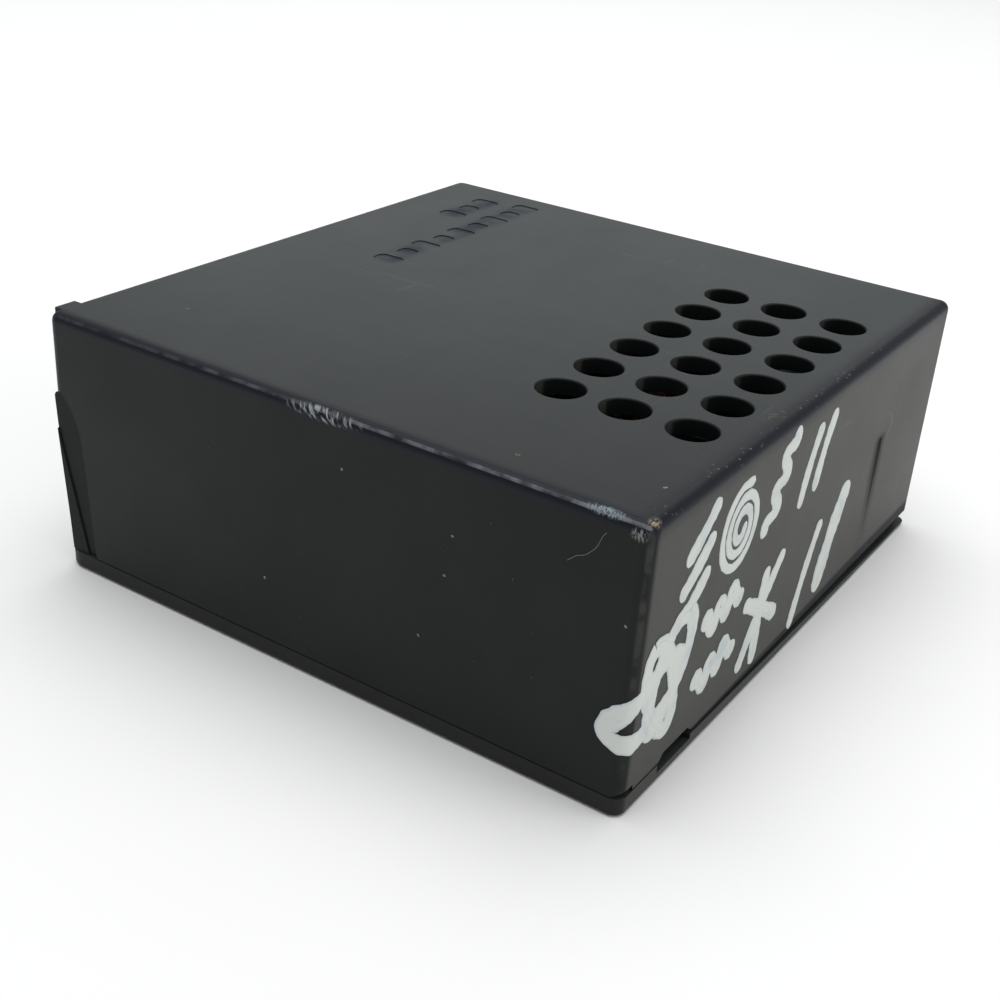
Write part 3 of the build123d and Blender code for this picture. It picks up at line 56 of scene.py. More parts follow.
# ---------------------------------------------------------------- node graphs
class Graph:
    """A material with one Principled shader, and short calls that add nodes to it."""

    def __init__(self, name, **settings):
        self.material = bpy.data.materials.new(name)
        self.material.use_nodes = True
        self.tree = self.material.node_tree
        self.shader = self.tree.nodes["Principled BSDF"]
        for socket, value in settings.items():
            self.shader.inputs[socket.replace("_", " ")].default_value = value
        coordinates = self.tree.nodes.new("ShaderNodeTexCoord")
        self.place = self.vector("SCALE", coordinates.outputs["Object"], scale=1 / MM)
        split = self.add("ShaderNodeSeparateXYZ", Vector=self.place)
        self.x, self.y, self.z = split.outputs

    def add(self, kind, **inputs):
        """Add a node; each keyword names an input and gives its value or the socket feeding it."""
        node = self.tree.nodes.new(kind)
        for name, value in inputs.items():
            self.feed(value, node.inputs[name.replace("_", " ")])
        return node

    def feed(self, value, socket):
        if isinstance(value, bpy.types.NodeSocket):
            self.tree.links.new(value, socket)
        else:
            socket.default_value = value

    def vector(self, operation, a, b=None, scale=None):
        node = self.tree.nodes.new("ShaderNodeVectorMath")
        node.operation = operation
        self.feed(a, node.inputs[0])
        if b is not None:
            self.feed(b, node.inputs[1])
        if scale is not None:
            node.inputs["Scale"].default_value = scale
        return node.outputs["Value" if operation == "LENGTH" else "Vector"]

    def math(self, operation, a, b=0.0, c=0.0, clamp=False):
        node = self.tree.nodes.new("ShaderNodeMath")
        node.operation = operation
        node.use_clamp = clamp
        for value, socket in zip((a, b, c), node.inputs):
            self.feed(value, socket)
        return node.outputs[0]

    def point(self, x=0.0, y=0.0, z=0.0):
        return self.add("ShaderNodeCombineXYZ", X=x, Y=y, Z=z).outputs[0]

    def attribute(self, name):
        node = self.tree.nodes.new("ShaderNodeAttribute")
        node.attribute_name = name
        return node.outputs

    def mapped(self, size, stretch, offset):
        mapping = self.add("ShaderNodeMapping", Vector=self.place)
        mapping.inputs["Location"].default_value = offset
        mapping.inputs["Scale"].default_value = [1 / (size * s) for s in stretch]
        return mapping.outputs[0]

    def noise(self, size, detail=3.0, roughness=0.55, stretch=(1, 1, 1), offset=(0, 0, 0)):
        """Noise from 0 to 1 with features of about that size in millimetres."""
        vector = self.mapped(size, stretch, offset)
        node = self.add("ShaderNodeTexNoise", Vector=vector, Scale=1.0, Detail=detail, Roughness=roughness)
        return node.outputs["Fac"]

    def cells(self, size, offset=(0, 0, 0), stretch=(1, 1, 1)):
        """Distance to the centre of each Voronoi cell of that size in millimetres."""
        node = self.add("ShaderNodeTexVoronoi", Vector=self.mapped(size, stretch, offset), Scale=1.0)
        return node.outputs["Distance"]

    def slanted_noise(self, width, length):
        """Noise drawn out into strokes that lean to the right as they go down the front."""
        across = self.math("DIVIDE", self.math("ADD", self.x, self.z), width)
        along = self.math("DIVIDE", self.math("SUBTRACT", self.x, self.z), length)
        node = self.add("ShaderNodeTexNoise", Vector=self.point(across, along, 0.0), Scale=0.6, Detail=3.0)
        return node.outputs["Fac"]

    def chance(self, x, y, seed):
        """A random number from 0 to 1 for each whole x and y."""
        node = self.add("ShaderNodeTexWhiteNoise", Vector=self.point(x, y, seed))
        return node.outputs["Value"]

    def ramp(self, value, low, high, start=0.0, end=1.0):
        """Smooth step: start below low, end above high (low may be the larger)."""
        node = self.tree.nodes.new("ShaderNodeMapRange")
        node.interpolation_type = "SMOOTHSTEP"
        if low > high:
            low, high, start, end = high, low, end, start
        for name, number in (("From Min", low), ("From Max", high), ("To Min", start), ("To Max", end)):
            node.inputs[name].default_value = number
        self.feed(value, node.inputs["Value"])
        return node.outputs["Result"]

    def blend(self, factor, a, b):
        node = self.tree.nodes.new("ShaderNodeMix")
        node.data_type = "RGBA"
        self.feed(factor, node.inputs["Factor"])
        for value, socket in ((a, node.inputs[6]), (b, node.inputs[7])):
            self.feed((*value, 1.0) if isinstance(value, tuple) else value, socket)
        return node.outputs[2]

    def spot(self, centre, radii, soft=0.35):
        """1 inside an ellipsoid, falling to 0 at its edge."""
        shifted = self.vector("SUBTRACT", self.place, centre)
        scaled = self.vector("DIVIDE", shifted, radii)
        return self.ramp(self.vector("LENGTH", scaled), 1.0, soft)

    def strip(self, axis, low, high, soft):
        """1 between two values of a coordinate, softly falling to 0 outside them."""
        rise = self.ramp(axis, low - soft, low + soft)
        fall = self.ramp(axis, high + soft, high - soft)
        return self.math("MULTIPLY", rise, fall)

    def off_axis(self, centre, keep):
        """Distance in millimetres from a line through centre; keep is 0 for the axis the line runs along."""
        shifted = self.vector("SUBTRACT", self.place, centre)
        return self.vector("LENGTH", self.vector("MULTIPLY", shifted, keep))

    def times(self, *values):
        product = values[0]
        for value in values[1:]:
            product = self.math("MULTIPLY", product, value)
        return product

    def most(self, *values):
        largest = values[0]
        for value in values[1:]:
            largest = self.math("MAXIMUM", largest, value)
        return largest

    def facing(self, axis):
        """How far the surface faces along +X, +Y or +Z, from -1 to 1."""
        geometry = self.tree.nodes.new("ShaderNodeNewGeometry")
        split = self.add("ShaderNodeSeparateXYZ", Vector=geometry.outputs["Normal"])
        return split.outputs[axis]

    def bump(self, height, distance, strength=1.0):
        """Normals of a height from 0 to 1 that stands for that many millimetres."""
        node = self.add("ShaderNodeBump", Height=height)
        node.inputs["Strength"].default_value = strength
        node.inputs["Distance"].default_value = distance * MM
        return node.outputs["Normal"]

    def finish(self, colour=None, roughness=None, normal=None, metallic=None):
        for value, name in (
            (colour, "Base Color"),
            (roughness, "Roughness"),
            (normal, "Normal"),
            (metallic, "Metallic"),
        ):
            if value is not None:
                value = (*value, 1.0) if isinstance(value, tuple) else value
                self.feed(value, self.shader.inputs[name])
        return self.material


# ---------------------------------------------------------------- the black shells
# Colours are linear red, green and blue; places and sizes are in millimetres.
PLASTIC_DARK, PLASTIC_LIGHT = (0.0046, 0.0056, 0.0064), (0.0080, 0.0088, 0.0086)
# The pale film is dust, and its colour differs by face: on the top it carries painted sheen, on the closed end
# it is paler and olive with painted light from the lamp beyond that end.
TOP_DUST_AND_SHEEN, END_DUST_AND_LIGHT = (0.117, 0.135, 0.139), (0.136, 0.138, 0.114)
SIDE_DUST, RIM_DUST = (0.030, 0.036, 0.034), (0.055, 0.058, 0.052)
FILM_COVER = 0.34  # share of the plastic that the film hides where it is thickest
SCRATCH_PALE, SPECK_PALE = (0.20, 0.21, 0.21), (0.26, 0.25, 0.22)
# Navy tints: painted reflection on the rounded top edges, painted shade along the foot of the closed end, and
# a darker tint over the sunk marks.
EDGE_REFLECTION_NAVY, FOOT_SHADE_NAVY, MARKS_NAVY = (0.0050, 0.0062, 0.0125), (0.0040, 0.0052, 0.0105), (0.012, 0.015, 0.026)
GROOVE_SHADE = (0.010, 0.010, 0.010)
GROOVE_Y, GROOVE_TOP_Z = 26.7, 25.7  # of the upright groove in the closed end
MARK_ROWS = (((-31.6, -28.0), (1.5, 44.0)), ((-39.2, -35.6), (30.0, 44.0)))  # x and y ranges of sunk blocks
MARKS_X, MARKS_Y = (-43.0, -25.0), (-1.0, 48.0)  # ranges that hold both rows
GRIT_X, GRIT_Y = END_X - 3.2, -13.8  # a patch of grit on the roof, by the closed end


def hairlines(g, size, stretch, width=0.010, offset=(0, 0, 0)):
    """Nearly straight hairline scratches: thin contours of a noise drawn out along one direction."""
    field = g.noise(size, detail=0.0, stretch=stretch, offset=offset)
    return g.ramp(g.math("ABSOLUTE", g.math("SUBTRACT", field, 0.5)), width, 0.0)


def at_roof(g):
    """1 on the roof and on what is sunk into it, 0 further down."""
    return g.ramp(g.z, ROOF_Z - 0.9, ROOF_Z - 0.5)


def shell_plastic(name, cover):
    """Black moulded plastic: satin, with a pale film on top and end that is dust with painted sheen on the top
    and painted light on the end, hairlines and specks.
    """
    g = Graph(name, Specular_IOR_Level=0.18 if cover else 0.10)
    grain = g.noise(0.30, detail=2.0, roughness=0.6)
    mottling = g.noise(20.0, detail=4.0)
    smudge = g.noise(16.0, detail=5.0, roughness=0.6, stretch=(1.0, 1.9, 1.0), offset=(7, 3, 1))
    streak = g.noise(5.0, detail=4.0, roughness=0.7, stretch=(7.0, 0.5, 1.0), offset=(2, 6, 4))
    up = g.ramp(g.facing(2), 0.93, 0.995)
    end = g.ramp(g.facing(0), 0.93, 0.995)
    colour = g.blend(mottling, PLASTIC_DARK, PLASTIC_LIGHT)
    side_film = g.ramp(g.noise(9.0, detail=5.0, stretch=(1, 1, 1.6), offset=(3, 3, 8)), 0.35, 0.8, 0.0, 0.08)
    colour = g.blend(side_film, colour, SIDE_DUST)
    if cover:
        up, end = dust_and_sheen_faces(g, up, end)
    amount = g.times(g.ramp(smudge, 0.2, 0.8, 0.62, 0.95), g.ramp(streak, 0.25, 0.75, 0.86, 1.0))
    # Dust film on top and end, with painted sheen on the top and painted light on the closed end.
    colour = g.blend(g.times(up, amount, FILM_COVER), colour, TOP_DUST_AND_SHEEN)
    colour = g.blend(g.times(end, amount, FILM_COVER), colour, END_DUST_AND_LIGHT)
    lines = g.most(
        hairlines(g, 15.0, (0.12, 5.0, 1.0)),
        hairlines(g, 12.0, (3.6, 0.10, 1.0), offset=(5, 9, 2)),
    )
    lines = g.times(lines, g.ramp(g.noise(16.0, offset=(3, 8, 5)), 0.52, 0.68), g.most(up, end))
    colour = g.blend(g.times(lines, 0.16), colour, SCRATCH_PALE)
    specks = g.times(
        g.ramp(g.cells(2.2, offset=(4, 1, 6)), 0.05, 0.03), g.ramp(g.noise(6.0, offset=(1, 5, 2)), 0.52, 0.64)
    )
    colour = g.blend(g.times(specks, 0.30), colour, SPECK_PALE)
    roughness = g.math("ADD", g.ramp(smudge, 0.2, 0.85, 0.34, 0.46), g.times(grain, 0.06))
    if cover:
        colour, roughness = edge_wear_and_reflection(g, colour, roughness)
        colour, roughness = shaded_places(g, colour, roughness)
    else:
        rim = g.times(g.ramp(g.z, 3.2, 2.6), g.ramp(g.facing(2), 0.9, 0.6))
        colour = g.blend(g.times(rim, 0.30), colour, RIM_DUST)
    height = g.math("ADD", grain, g.times(lines, -0.8))
    return g.finish(colour, roughness, g.bump(height, 0.03, 0.35))


def dust_and_sheen_faces(g, up, end):
    """The cover's film lies on the sunk marks' walls too; it fades out on the rounded edges, where the painted
    reflection stays dark, and thins toward the front, a painted sheen that grows toward the back; on the
    closed end it thins a little toward the back.
    """
    marks = g.times(g.strip(g.x, *MARKS_X, 0.5), at_roof(g), g.strip(g.y, *MARKS_Y, 0.5))
    # The film fades out on the rounded edges, which keep the dark painted reflection.
    inside_edges = g.times(g.ramp(g.x, END_X - 0.8, END_X - 4.2), g.ramp(g.y, 1.1 - SIDE_Y, 2.6 - SIDE_Y))
    # Painted sheen: the top's film thickens from front to back, so the roof is lighter toward the back.
    from_front = g.math("SUBTRACT", g.y, g.math("MULTIPLY", g.x, 0.6))
    sheen_toward_back = g.ramp(from_front, -90.0, 10.0, 0.30, 0.84)
    up = g.times(g.most(up, marks), inside_edges, sheen_toward_back)
    return up, g.times(end, g.ramp(g.y, 20.0, 50.0, 1.0, 0.84))


def edge_wear_and_reflection(g, colour, roughness):
    """Painted reflection darkening the cover's rounded edges navy-black; a worn line along the front ridge
    that is also a painted highlight; pale patches on the upright corner; and knocks and grit along the edges.
    """
    fine = g.noise(0.5, detail=4.0, roughness=0.7, stretch=(0.6, 1.5, 1.5))
    fibrous = g.slanted_noise(0.32, 1.5)
    coarse = g.noise(3.0, detail=3.0, offset=(6, 2, 7))
    ridge = g.off_axis((0.0, 0.5 - SIDE_Y, ROOF_Z - 0.5), (0.0, 1.0, 1.0))
    end_ridge = g.off_axis((END_X - 0.5, 0.0, ROOF_Z - 0.5), (1.0, 0.0, 1.0))
    upright = g.off_axis((END_X - 0.6, 0.6 - SIDE_Y, 0.0), (1.0, 1.0, 0.0))
    # Painted reflection: the rounded top edges are darkened toward navy-black.
    edge = g.most(g.ramp(ridge, 2.2, 0.8), g.ramp(end_ridge, 2.6, 0.9))
    colour = g.blend(g.times(edge, 0.8), colour, EDGE_REFLECTION_NAVY)
    # The worn line along the front ridge is wear and also a painted highlight, brighter toward the closed end.
    line = g.times(g.ramp(ridge, 0.34, 0.20), g.ramp(coarse, 0.34, 0.62, 0.10, 1.0))
    line = g.times(line, g.ramp(g.x, -44.0, 44.0, 0.18, 0.85))
    scuff = g.times(g.spot((1.8, -SIDE_Y, ROOF_Z - 0.6), (7.4, 1.3, 1.35), 0.5), g.ramp(fibrous, 0.44, 0.62))
    blue_scuff = g.times(g.spot((43.4, 0.2 - SIDE_Y, ROOF_Z), (3.8, 1.2, 1.0), 0.5), g.ramp(fine, 0.42, 0.56))
    smear = g.times(g.spot((48.2, -SIDE_Y, ROOF_Z - 1.5), (1.5, 0.9, 1.1), 0.4), g.ramp(fine, 0.46, 0.56))
    tan_corner = g.spot((END_X - 0.9, 1.6 - SIDE_Y, ROOF_Z - 0.2), (1.0, 1.2, 0.9), 0.3)
    tan = g.times(tan_corner, g.ramp(fine, 0.42, 0.56))
    grit_band = g.times(g.strip(g.x, END_X - 2.6, END_X - 0.4, 0.6), g.ramp(g.z, ROOF_Z - 1.6, ROOF_Z - 0.8))
    grit = g.times(
        grit_band,
        g.ramp(g.cells(0.8, offset=(3, 3, 3)), 0.28, 0.10),
        g.ramp(g.noise(4.0, offset=(9, 1, 4)), 0.50, 0.62),
    )
    patch = g.times(g.spot((GRIT_X, GRIT_Y, ROOF_Z), (2.2, 3.0, 1.2), 0.2), g.ramp(fine, 0.54, 0.66))
    corner = g.times(g.ramp(upright, 0.6, 0.25), g.ramp(coarse, 0.40, 0.66))
    corner = g.times(corner, g.ramp(g.z, 6.0, 34.0, 0.35, 0.9))
    for mask, tint, strength in (
        (corner, (0.085, 0.082, 0.078), 0.45),
        (line, (0.20, 0.21, 0.235), 0.75),
        (scuff, (0.33, 0.36, 0.37), 0.85),
        (blue_scuff, (0.27, 0.33, 0.37), 0.80),
        (smear, (0.26, 0.26, 0.24), 0.70),
        (tan, (0.34, 0.29, 0.20), 0.80),
        (grit, (0.24, 0.21, 0.17), 0.60),
        (patch, (0.17, 0.15, 0.12), 0.60),
    ):
        colour = g.blend(g.times(mask, strength), colour, tint)
        roughness = g.math("ADD", roughness, g.times(mask, 0.15), clamp=True)
    return colour, roughness


def shaded_places(g, colour, roughness):
    """Painted shade in the cover's groove and along the foot of its closed end, and a darker navy tint over
    its sunk marks.
    """
    on_end = g.ramp(g.facing(0), 0.5, 0.8)
    across_groove = g.ramp(g.math("ABSOLUTE", g.math("SUBTRACT", g.y, GROOVE_Y)), 3.0, 0.8)
    along_groove = g.times(
        g.ramp(g.z, 5.0, 23.0, 0.10, 1.0), g.ramp(g.z, GROOVE_TOP_Z + 0.9, GROOVE_TOP_Z - 0.9)
    )
    # Painted shade: a navy band along the foot of the closed end, wider toward the back.
    above_foot = g.math("SUBTRACT", g.z, FOOT_Z)
    foot = g.ramp(g.math("DIVIDE", above_foot, g.ramp(g.y, -44.0, 44.0, 0.3, 2.4)), 1.15, 0.55)
    # A patchy, darker navy tint over the rows of sunk marks on the roof.
    rows = g.most(*(g.times(g.strip(g.x, *xs, 1.3), g.strip(g.y, *ys, 2.0)) for xs, ys in MARK_ROWS))
    patchy = g.ramp(g.noise(6.5, detail=3.0, offset=(6, 6, 2)), 0.36, 0.60)
    for mask, tint, strength, dulling in (
        (g.times(across_groove, along_groove, on_end), GROOVE_SHADE, 0.80, 0.15),
        (g.times(foot, on_end), FOOT_SHADE_NAVY, 0.90, 0.20),
        (g.times(rows, at_roof(g), patchy), MARKS_NAVY, 0.90, 0.15),
    ):
        colour = g.blend(g.times(mask, strength), colour, tint)
        roughness = g.math("ADD", roughness, g.times(mask, dulling))
    return colour, roughness


# ---------------------------------------------------------------- mesh helpers
class Shapes:
    """Points in millimetres and faces of many small shapes that make up one mesh piece."""

    def __init__(self):
        self.points, self.faces = [], []

    def add(self, points, faces):
        start = len(self.points)
        self.points.extend(points)
        self.faces.extend(tuple(start + i for i in face) for face in faces)

    def piece(self, name, body, slot, material, smooth=True):
        """Make the mesh piece, which rides on a body."""
        mesh = bpy.data.meshes.new(name)
        mesh.from_pydata([Vector(point) * MM for point in self.points], [], self.faces)
        mesh.update()
        mesh.polygons.foreach_set("use_smooth", [smooth] * len(mesh.polygons))
        mesh.materials.append(material)
        piece = bpy.data.objects.new(name, mesh)
        bpy.context.scene.collection.objects.link(piece)
        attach(piece, body)
        return piece


def point_attribute(piece, label, values):
    layer = piece.data.attributes.new(label, "FLOAT", "POINT")
    layer.data.foreach_set("value", values)


def smooth_path(points, step, closed=False):
    """Catmull-Rom curve through the points, sampled about every step."""
    count = len(points)
    path = []
    for i in range(count if closed else count - 1):
        p0, p1, p2, p3 = (
            Vector(points[(i + k) % count] if closed else points[min(max(i + k, 0), count - 1)])
            for k in (-1, 0, 1, 2)
        )
        steps = max(2, round((p2 - p1).length / step))
        for k in range(steps):
            t = k / steps
            bend = (2 * p0 - 5 * p1 + 4 * p2 - p3) * t * t + (3 * p1 - p0 - 3 * p2 + p3) * t**3
            path.append(0.5 * (2 * p1 + (p2 - p0) * t + bend))
    path.append(Vector(points[0] if closed else points[-1]))
    return path


def grid_faces(rows, columns, closed_columns=False):
    """Quads of a grid of vertices stored row by row."""
    faces = []
    for i in range(rows - 1):
        here, below = i * columns, (i + 1) * columns
        for k in range(columns if closed_columns else columns - 1):
            after = (k + 1) % columns
            faces.append((here + k, below + k, below + after, here + after))
    return faces


def oval(centre, reach_x, reach_y, z, sides):
    """Points of a level oval round a centre."""
    turns = [math.tau * k / sides for k in range(sides)]
    return [(centre[0] + reach_x * math.cos(a), centre[1] + reach_y * math.sin(a), z) for a in turns]


def loose_parts(node):
    """The separate solids of a CAD node, each as its list of points in millimetres."""
    mesh = frame["nodes"][node].data
    group = {}

    def find(key):
        while group[key] != key:
            group[key] = group[group[key]]
            key = group[key]
        return key

    keys = [tuple(round(c / MM, 2) for c in vertex.co) for vertex in mesh.vertices]
    for key in keys:
        group.setdefault(key, key)
    for polygon in mesh.polygons:
        first = find(keys[polygon.vertices[0]])
        for index in polygon.vertices[1:]:
            group[find(keys[index])] = first
            first = find(first)
    parts = {}
    for key in group:
        parts.setdefault(find(key), []).append(Vector(key))
    return sorted(parts.values(), key=lambda part: tuple(part[0]))


def extent(points):
    """Lowest and highest corner of some points."""
    low = Vector([min(p[axis] for p in points) for axis in range(3)])
    high = Vector([max(p[axis] for p in points) for axis in range(3)])
    return low, high


def part_extents(*nodes):
    """Lowest and highest corner of each separate solid of some CAD nodes."""
    return [extent(part) for node in nodes for part in loose_parts(node)]


# ---------------------------------------------------------------- paint-pen marks on the closed end
PAINT_THICK, PAINT_THIN = (0.64, 0.67, 0.635), (0.42, 0.49, 0.54)
PAINT_HEIGHT = 0.09
PAINT_SINK = 0.01  # of a stroke's edges, below the surface
PAINT_LAYER = 0.004  # height that each later stroke adds where it crosses others
PAINT_STEP = 0.35
PAINT_ACROSS = (-1.0, -0.93, -0.75, -0.4, 0.0, 0.4, 0.75, 0.93, 1.0)
STREAK_SHIFT = 37.0  # between one stroke's streaks and the next one's


def round_the_corner(y, z, height):
    """Point on the closed end at y and z; y beyond the corner's start wraps round to the front side."""
    s = y + SIDE_Y - CORNER_RADIUS
    turn = math.pi / 2 * CORNER_RADIUS
    reach = CORNER_RADIUS + height
    if s >= 0:
        return (END_X + height, y, z)
    if s > -turn:
        angle = -s / CORNER_RADIUS
        x = END_X - CORNER_RADIUS + reach * math.cos(angle)
        return (x, CORNER_RADIUS - SIDE_Y - reach * math.sin(angle), z)
    return (END_X - CORNER_RADIUS + s + turn, -SIDE_Y - height, z)


def paint_stroke(name, points, width, material, order, closed):
    """A raised ribbon of paint with a slightly uneven edge, and round ends unless it is closed."""
    wobble = random.Random(order)
    phases = [wobble.uniform(0, math.tau) for _ in range(4)]
    path = smooth_path([(y, z, 0) for y, z in points], PAINT_STEP, closed)
    lengths = [0.0]
    for a, b in zip(path, path[1:]):
        lengths.append(lengths[-1] + (b - a).length)
    ribbon, across, along = [], [], []
    for i, (centre, at) in enumerate(zip(path, lengths)):
        tangent = (path[min(i + 1, len(path) - 1)] - path[max(i - 1, 0)]).normalized()
        normal = Vector((-tangent.y, tangent.x, 0))
        half = width / 2 * (1 + 0.08 * math.sin(at * 0.9 + phases[0]) + 0.03 * math.sin(at * 3.1 + phases[1]))
        if not closed:
            cap = min(1.0, min(at, lengths[-1] - at) / half)
            half *= max(0.05, math.sqrt(1 - (1 - cap) ** 2))
        crown = PAINT_HEIGHT * (0.9 + 0.1 * math.sin(at * 2.3 + phases[1]))
        for t in PAINT_ACROSS:
            edge = 1 + 0.03 * math.sin(at * 4.1 + phases[2] + t * 2) + 0.015 * math.sin(at * 8.3 + phases[3])
            spot = centre + normal * (half * t * edge)
            height = crown * (1 - abs(t) ** 5) - PAINT_SINK + PAINT_LAYER * order
            ribbon.append(round_the_corner(spot.x, spot.y, height))
            across.append(t)
            along.append(at + STREAK_SHIFT * order)
    shapes = Shapes()
    shapes.add(ribbon, grid_faces(len(path), len(PAINT_ACROSS)))
    piece = shapes.piece(name, "cover", "paint_mark", material)
    point_attribute(piece, "across", across)
    point_attribute(piece, "along", along)


def paint_material():
    """Thick off-white marker paint: bluer where thin, streaked along the stroke, with a few pin holes."""
    g = Graph("marker_paint", Specular_IOR_Level=0.35)
    across = g.attribute("across")["Fac"]
    along = g.attribute("along")["Fac"]
    rim = g.ramp(g.math("ABSOLUTE", across), 0.62, 1.0)
    place = g.point(g.math("MULTIPLY", across, 2.6), g.math("MULTIPLY", along, 0.09), 0.0)
    streaks = g.add("ShaderNodeTexNoise", Vector=place, Scale=1.0, Detail=3.0).outputs["Fac"]
    thin = g.most(g.times(rim, 0.55), g.ramp(streaks, 0.54, 0.72, 0.0, 0.55))
    thin = g.most(thin, g.ramp(g.noise(5.0, detail=3.0), 0.50, 0.72, 0.0, 0.55))
    colour = g.blend(thin, PAINT_THICK, PAINT_THIN)
    drag = g.times(g.ramp(streaks, 0.40, 0.33), g.ramp(g.noise(2.4, offset=(4, 4, 4)), 0.52, 0.62))
    colour = g.blend(g.times(drag, 0.35), colour, (0.30, 0.31, 0.30))
    pin_holes = g.times(g.ramp(g.cells(0.7), 0.12, 0.05), g.ramp(g.noise(3.0, offset=(4, 4, 4)), 0.56, 0.66))
    colour = g.blend(g.times(pin_holes, 0.7), colour, (0.10, 0.10, 0.10))
    height = g.math("ADD", streaks, g.noise(0.6, detail=2.0))
    return g.finish(colour, 0.45, g.bump(height, 0.04, 0.6))


def slash(top, bottom, bow=0.6):
    """A nearly straight stroke, bowed a little to one side."""
    (y0, z0), (y1, z1) = top, bottom
    return [(y0 + (y1 - y0) * t - bow * math.sin(math.pi * t), z0 + (z1 - z0) * t) for t in (0, 0.35, 0.7, 1)]


def wave(start, end, height, turns):
    """A wavy stroke from start to end."""
    along = Vector(end) - Vector(start)
    side = Vector((-along.y, along.x)).normalized()
    steps = turns * 4
    points = []
    for k in range(steps + 1):
        sway = side * height * math.sin(math.pi / 2 * k)
        points.append(tuple(Vector(start) + along * (k / steps) + sway))
    return points


def spiral(centre, radius, turns, squeeze):
    """A spiral drawn from the outside in."""
    steps = round(turns * 10)
    points = []
    for k in range(steps + 1):
        angle = math.tau * k / 10 + 1.2
        reach = radius * (1 - 0.86 * k / steps)
        points.append((centre[0] + reach * squeeze * math.cos(angle), centre[1] + reach * math.sin(angle)))
    return points


def ring(centre, long, short, tilt):
    """A closed, slightly egg-shaped ring tilted by some degrees."""
    cos_tilt, sin_tilt = math.cos(math.radians(tilt)), math.sin(math.radians(tilt))
    points = []
    for k in range(12):
        angle = math.tau * k / 12
        a = long * math.cos(angle)
        b = short * math.sin(angle) * (1 + 0.18 * math.cos(angle))
        points.append((centre[0] + a * cos_tilt - b * sin_tilt, centre[1] + a * sin_tilt + b * cos_tilt))
    return points


def draw_marks():
    """Slashes, waves, a spiral, a fan and an overdrawn scribble, which say nothing."""
    paint = paint_material()
    marks = (
        ("slash_a", slash((3.4, 38.2), (-0.6, 26.4)), 2.6, False),
        ("slash_b", slash((-1.4, 37.6), (-5.6, 25.6)), 2.5, False),
        ("ripple", wave((-11.6, 40.0), (-16.8, 26.2), 1.5, 3), 2.5, False),
        ("spiral", spiral((-26.0, 31.0), 6.6, 2.9, 0.9), 1.5, False),
        ("rung_a", slash((-34.0, 38.6), (-41.6, 32.2), -0.5), 2.6, False),
        ("rung_b", slash((-34.2, 34.0), (-42.2, 27.6), -0.5), 2.7, False),
        ("rung_c", slash((-34.4, 29.2), (-40.6, 24.4), -0.5), 2.6, False),
        ("broad_bar", slash((14.8, 22.4), (8.0, 5.6), 0.9), 4.7, False),
        ("long_slash", slash((5.2, 19.6), (-1.0, 3.4)), 2.5, False),
        ("fan_a", slash((-8.4, 20.4), (-19.6, 5.2), 0.8), 2.7, False),
        ("fan_b", slash((-13.9, 20.0), (-14.4, 4.2), 0.3), 2.8, False),
        ("fan_c", slash((-20.6, 16.8), (-8.0, 9.6), -0.4), 2.5, False),
        ("wave_a", wave((-22.4, 20.6), (-33.6, 19.0), 1.5, 3), 2.7, False),
        ("wave_b", wave((-22.8, 12.6), (-34.2, 10.2), 1.5, 3), 2.7, False),
        ("scribble_a", ring((-42.4, 17.4), 8.0, 3.6, 62), 2.9, True),
        ("scribble_b", ring((-46.6, 15.0), 8.0, 3.4, 20), 2.9, True),
        ("scribble_c", ring((-44.2, 15.8), 7.8, 3.2, 112), 2.8, True),
    )
    for order, (label, points, width, closed) in enumerate(marks):
        paint_stroke(f"paint_{label}", points, width, paint, order, closed)


# ---------------------------------------------------------------- flecks and a stray fibre
FLECK_SIDES = 7
FLECK_RINGS = ((1.0, 0.0), (0.85, 0.45), (0.35, 0.7))  # spread and rise of each ring of a crumb
FLECK_FLATNESS = 0.4
FRONT, TOP = (1, -1), (2, 1)  # axis and direction that a face of the cover looks along
FIBRE_RADIUS = 0.07


def dust_material(name, pale, dark):
    """Matt dust or plastic crumbs, each a little different."""
    g = Graph(name, Specular_IOR_Level=0.2)
    tone = g.noise(0.5, detail=4.0)
    return g.finish(g.blend(tone, dark, pale), 0.85, g.bump(tone, 0.05, 0.6))


def flecks(name, spots, material, seed):
    """Small flat crumbs lying on the cover; each spot has its centre, its outward axis and its size."""
    wild = random.Random(seed)
    crumbs = Shapes()
    for centre, (axis, outward), size in spots:
        turn = wild.uniform(0, math.tau)
        across, along = [k for k in range(3) if k != axis]
        stretch = wild.uniform(0.5, 0.9)
        radii = [wild.uniform(0.7, 1.15) for _ in range(FLECK_SIDES)]
        corners = []
        for spread, rise in FLECK_RINGS:
            for k, radius in enumerate(radii):
                angle = math.tau * k / FLECK_SIDES
                a = size * spread * radius * math.cos(angle)
                b = size * spread * radius * stretch * math.sin(angle)
                corner = list(centre)
                corner[across] += a * math.cos(turn) - b * math.sin(turn)
                corner[along] += a * math.sin(turn) + b * math.cos(turn)
                corner[axis] += outward * size * FLECK_FLATNESS * rise
                corners.append(corner)
        lid = tuple(range(len(corners) - FLECK_SIDES, len(corners)))
        crumbs.add(corners, grid_faces(len(FLECK_RINGS), FLECK_SIDES, True) + [lid])
    crumbs.piece(name, "cover", "shell_plastic", material)


def tube(points, radius, sides=6):
    """Vertices and faces of a round tube along the points."""
    vertices = []
    for i, centre in enumerate(points):
        tangent = (points[min(i + 1, len(points) - 1)] - points[max(i - 1, 0)]).normalized()
        side = tangent.cross(Vector((0.31, 0.52, 0.79))).normalized()
        other = tangent.cross(side)
        for k in range(sides):
            angle = math.tau * k / sides
            vertices.append(centre + (side * math.cos(angle) + other * math.sin(angle)) * radius)
    return vertices, grid_faces(len(points), sides, True)


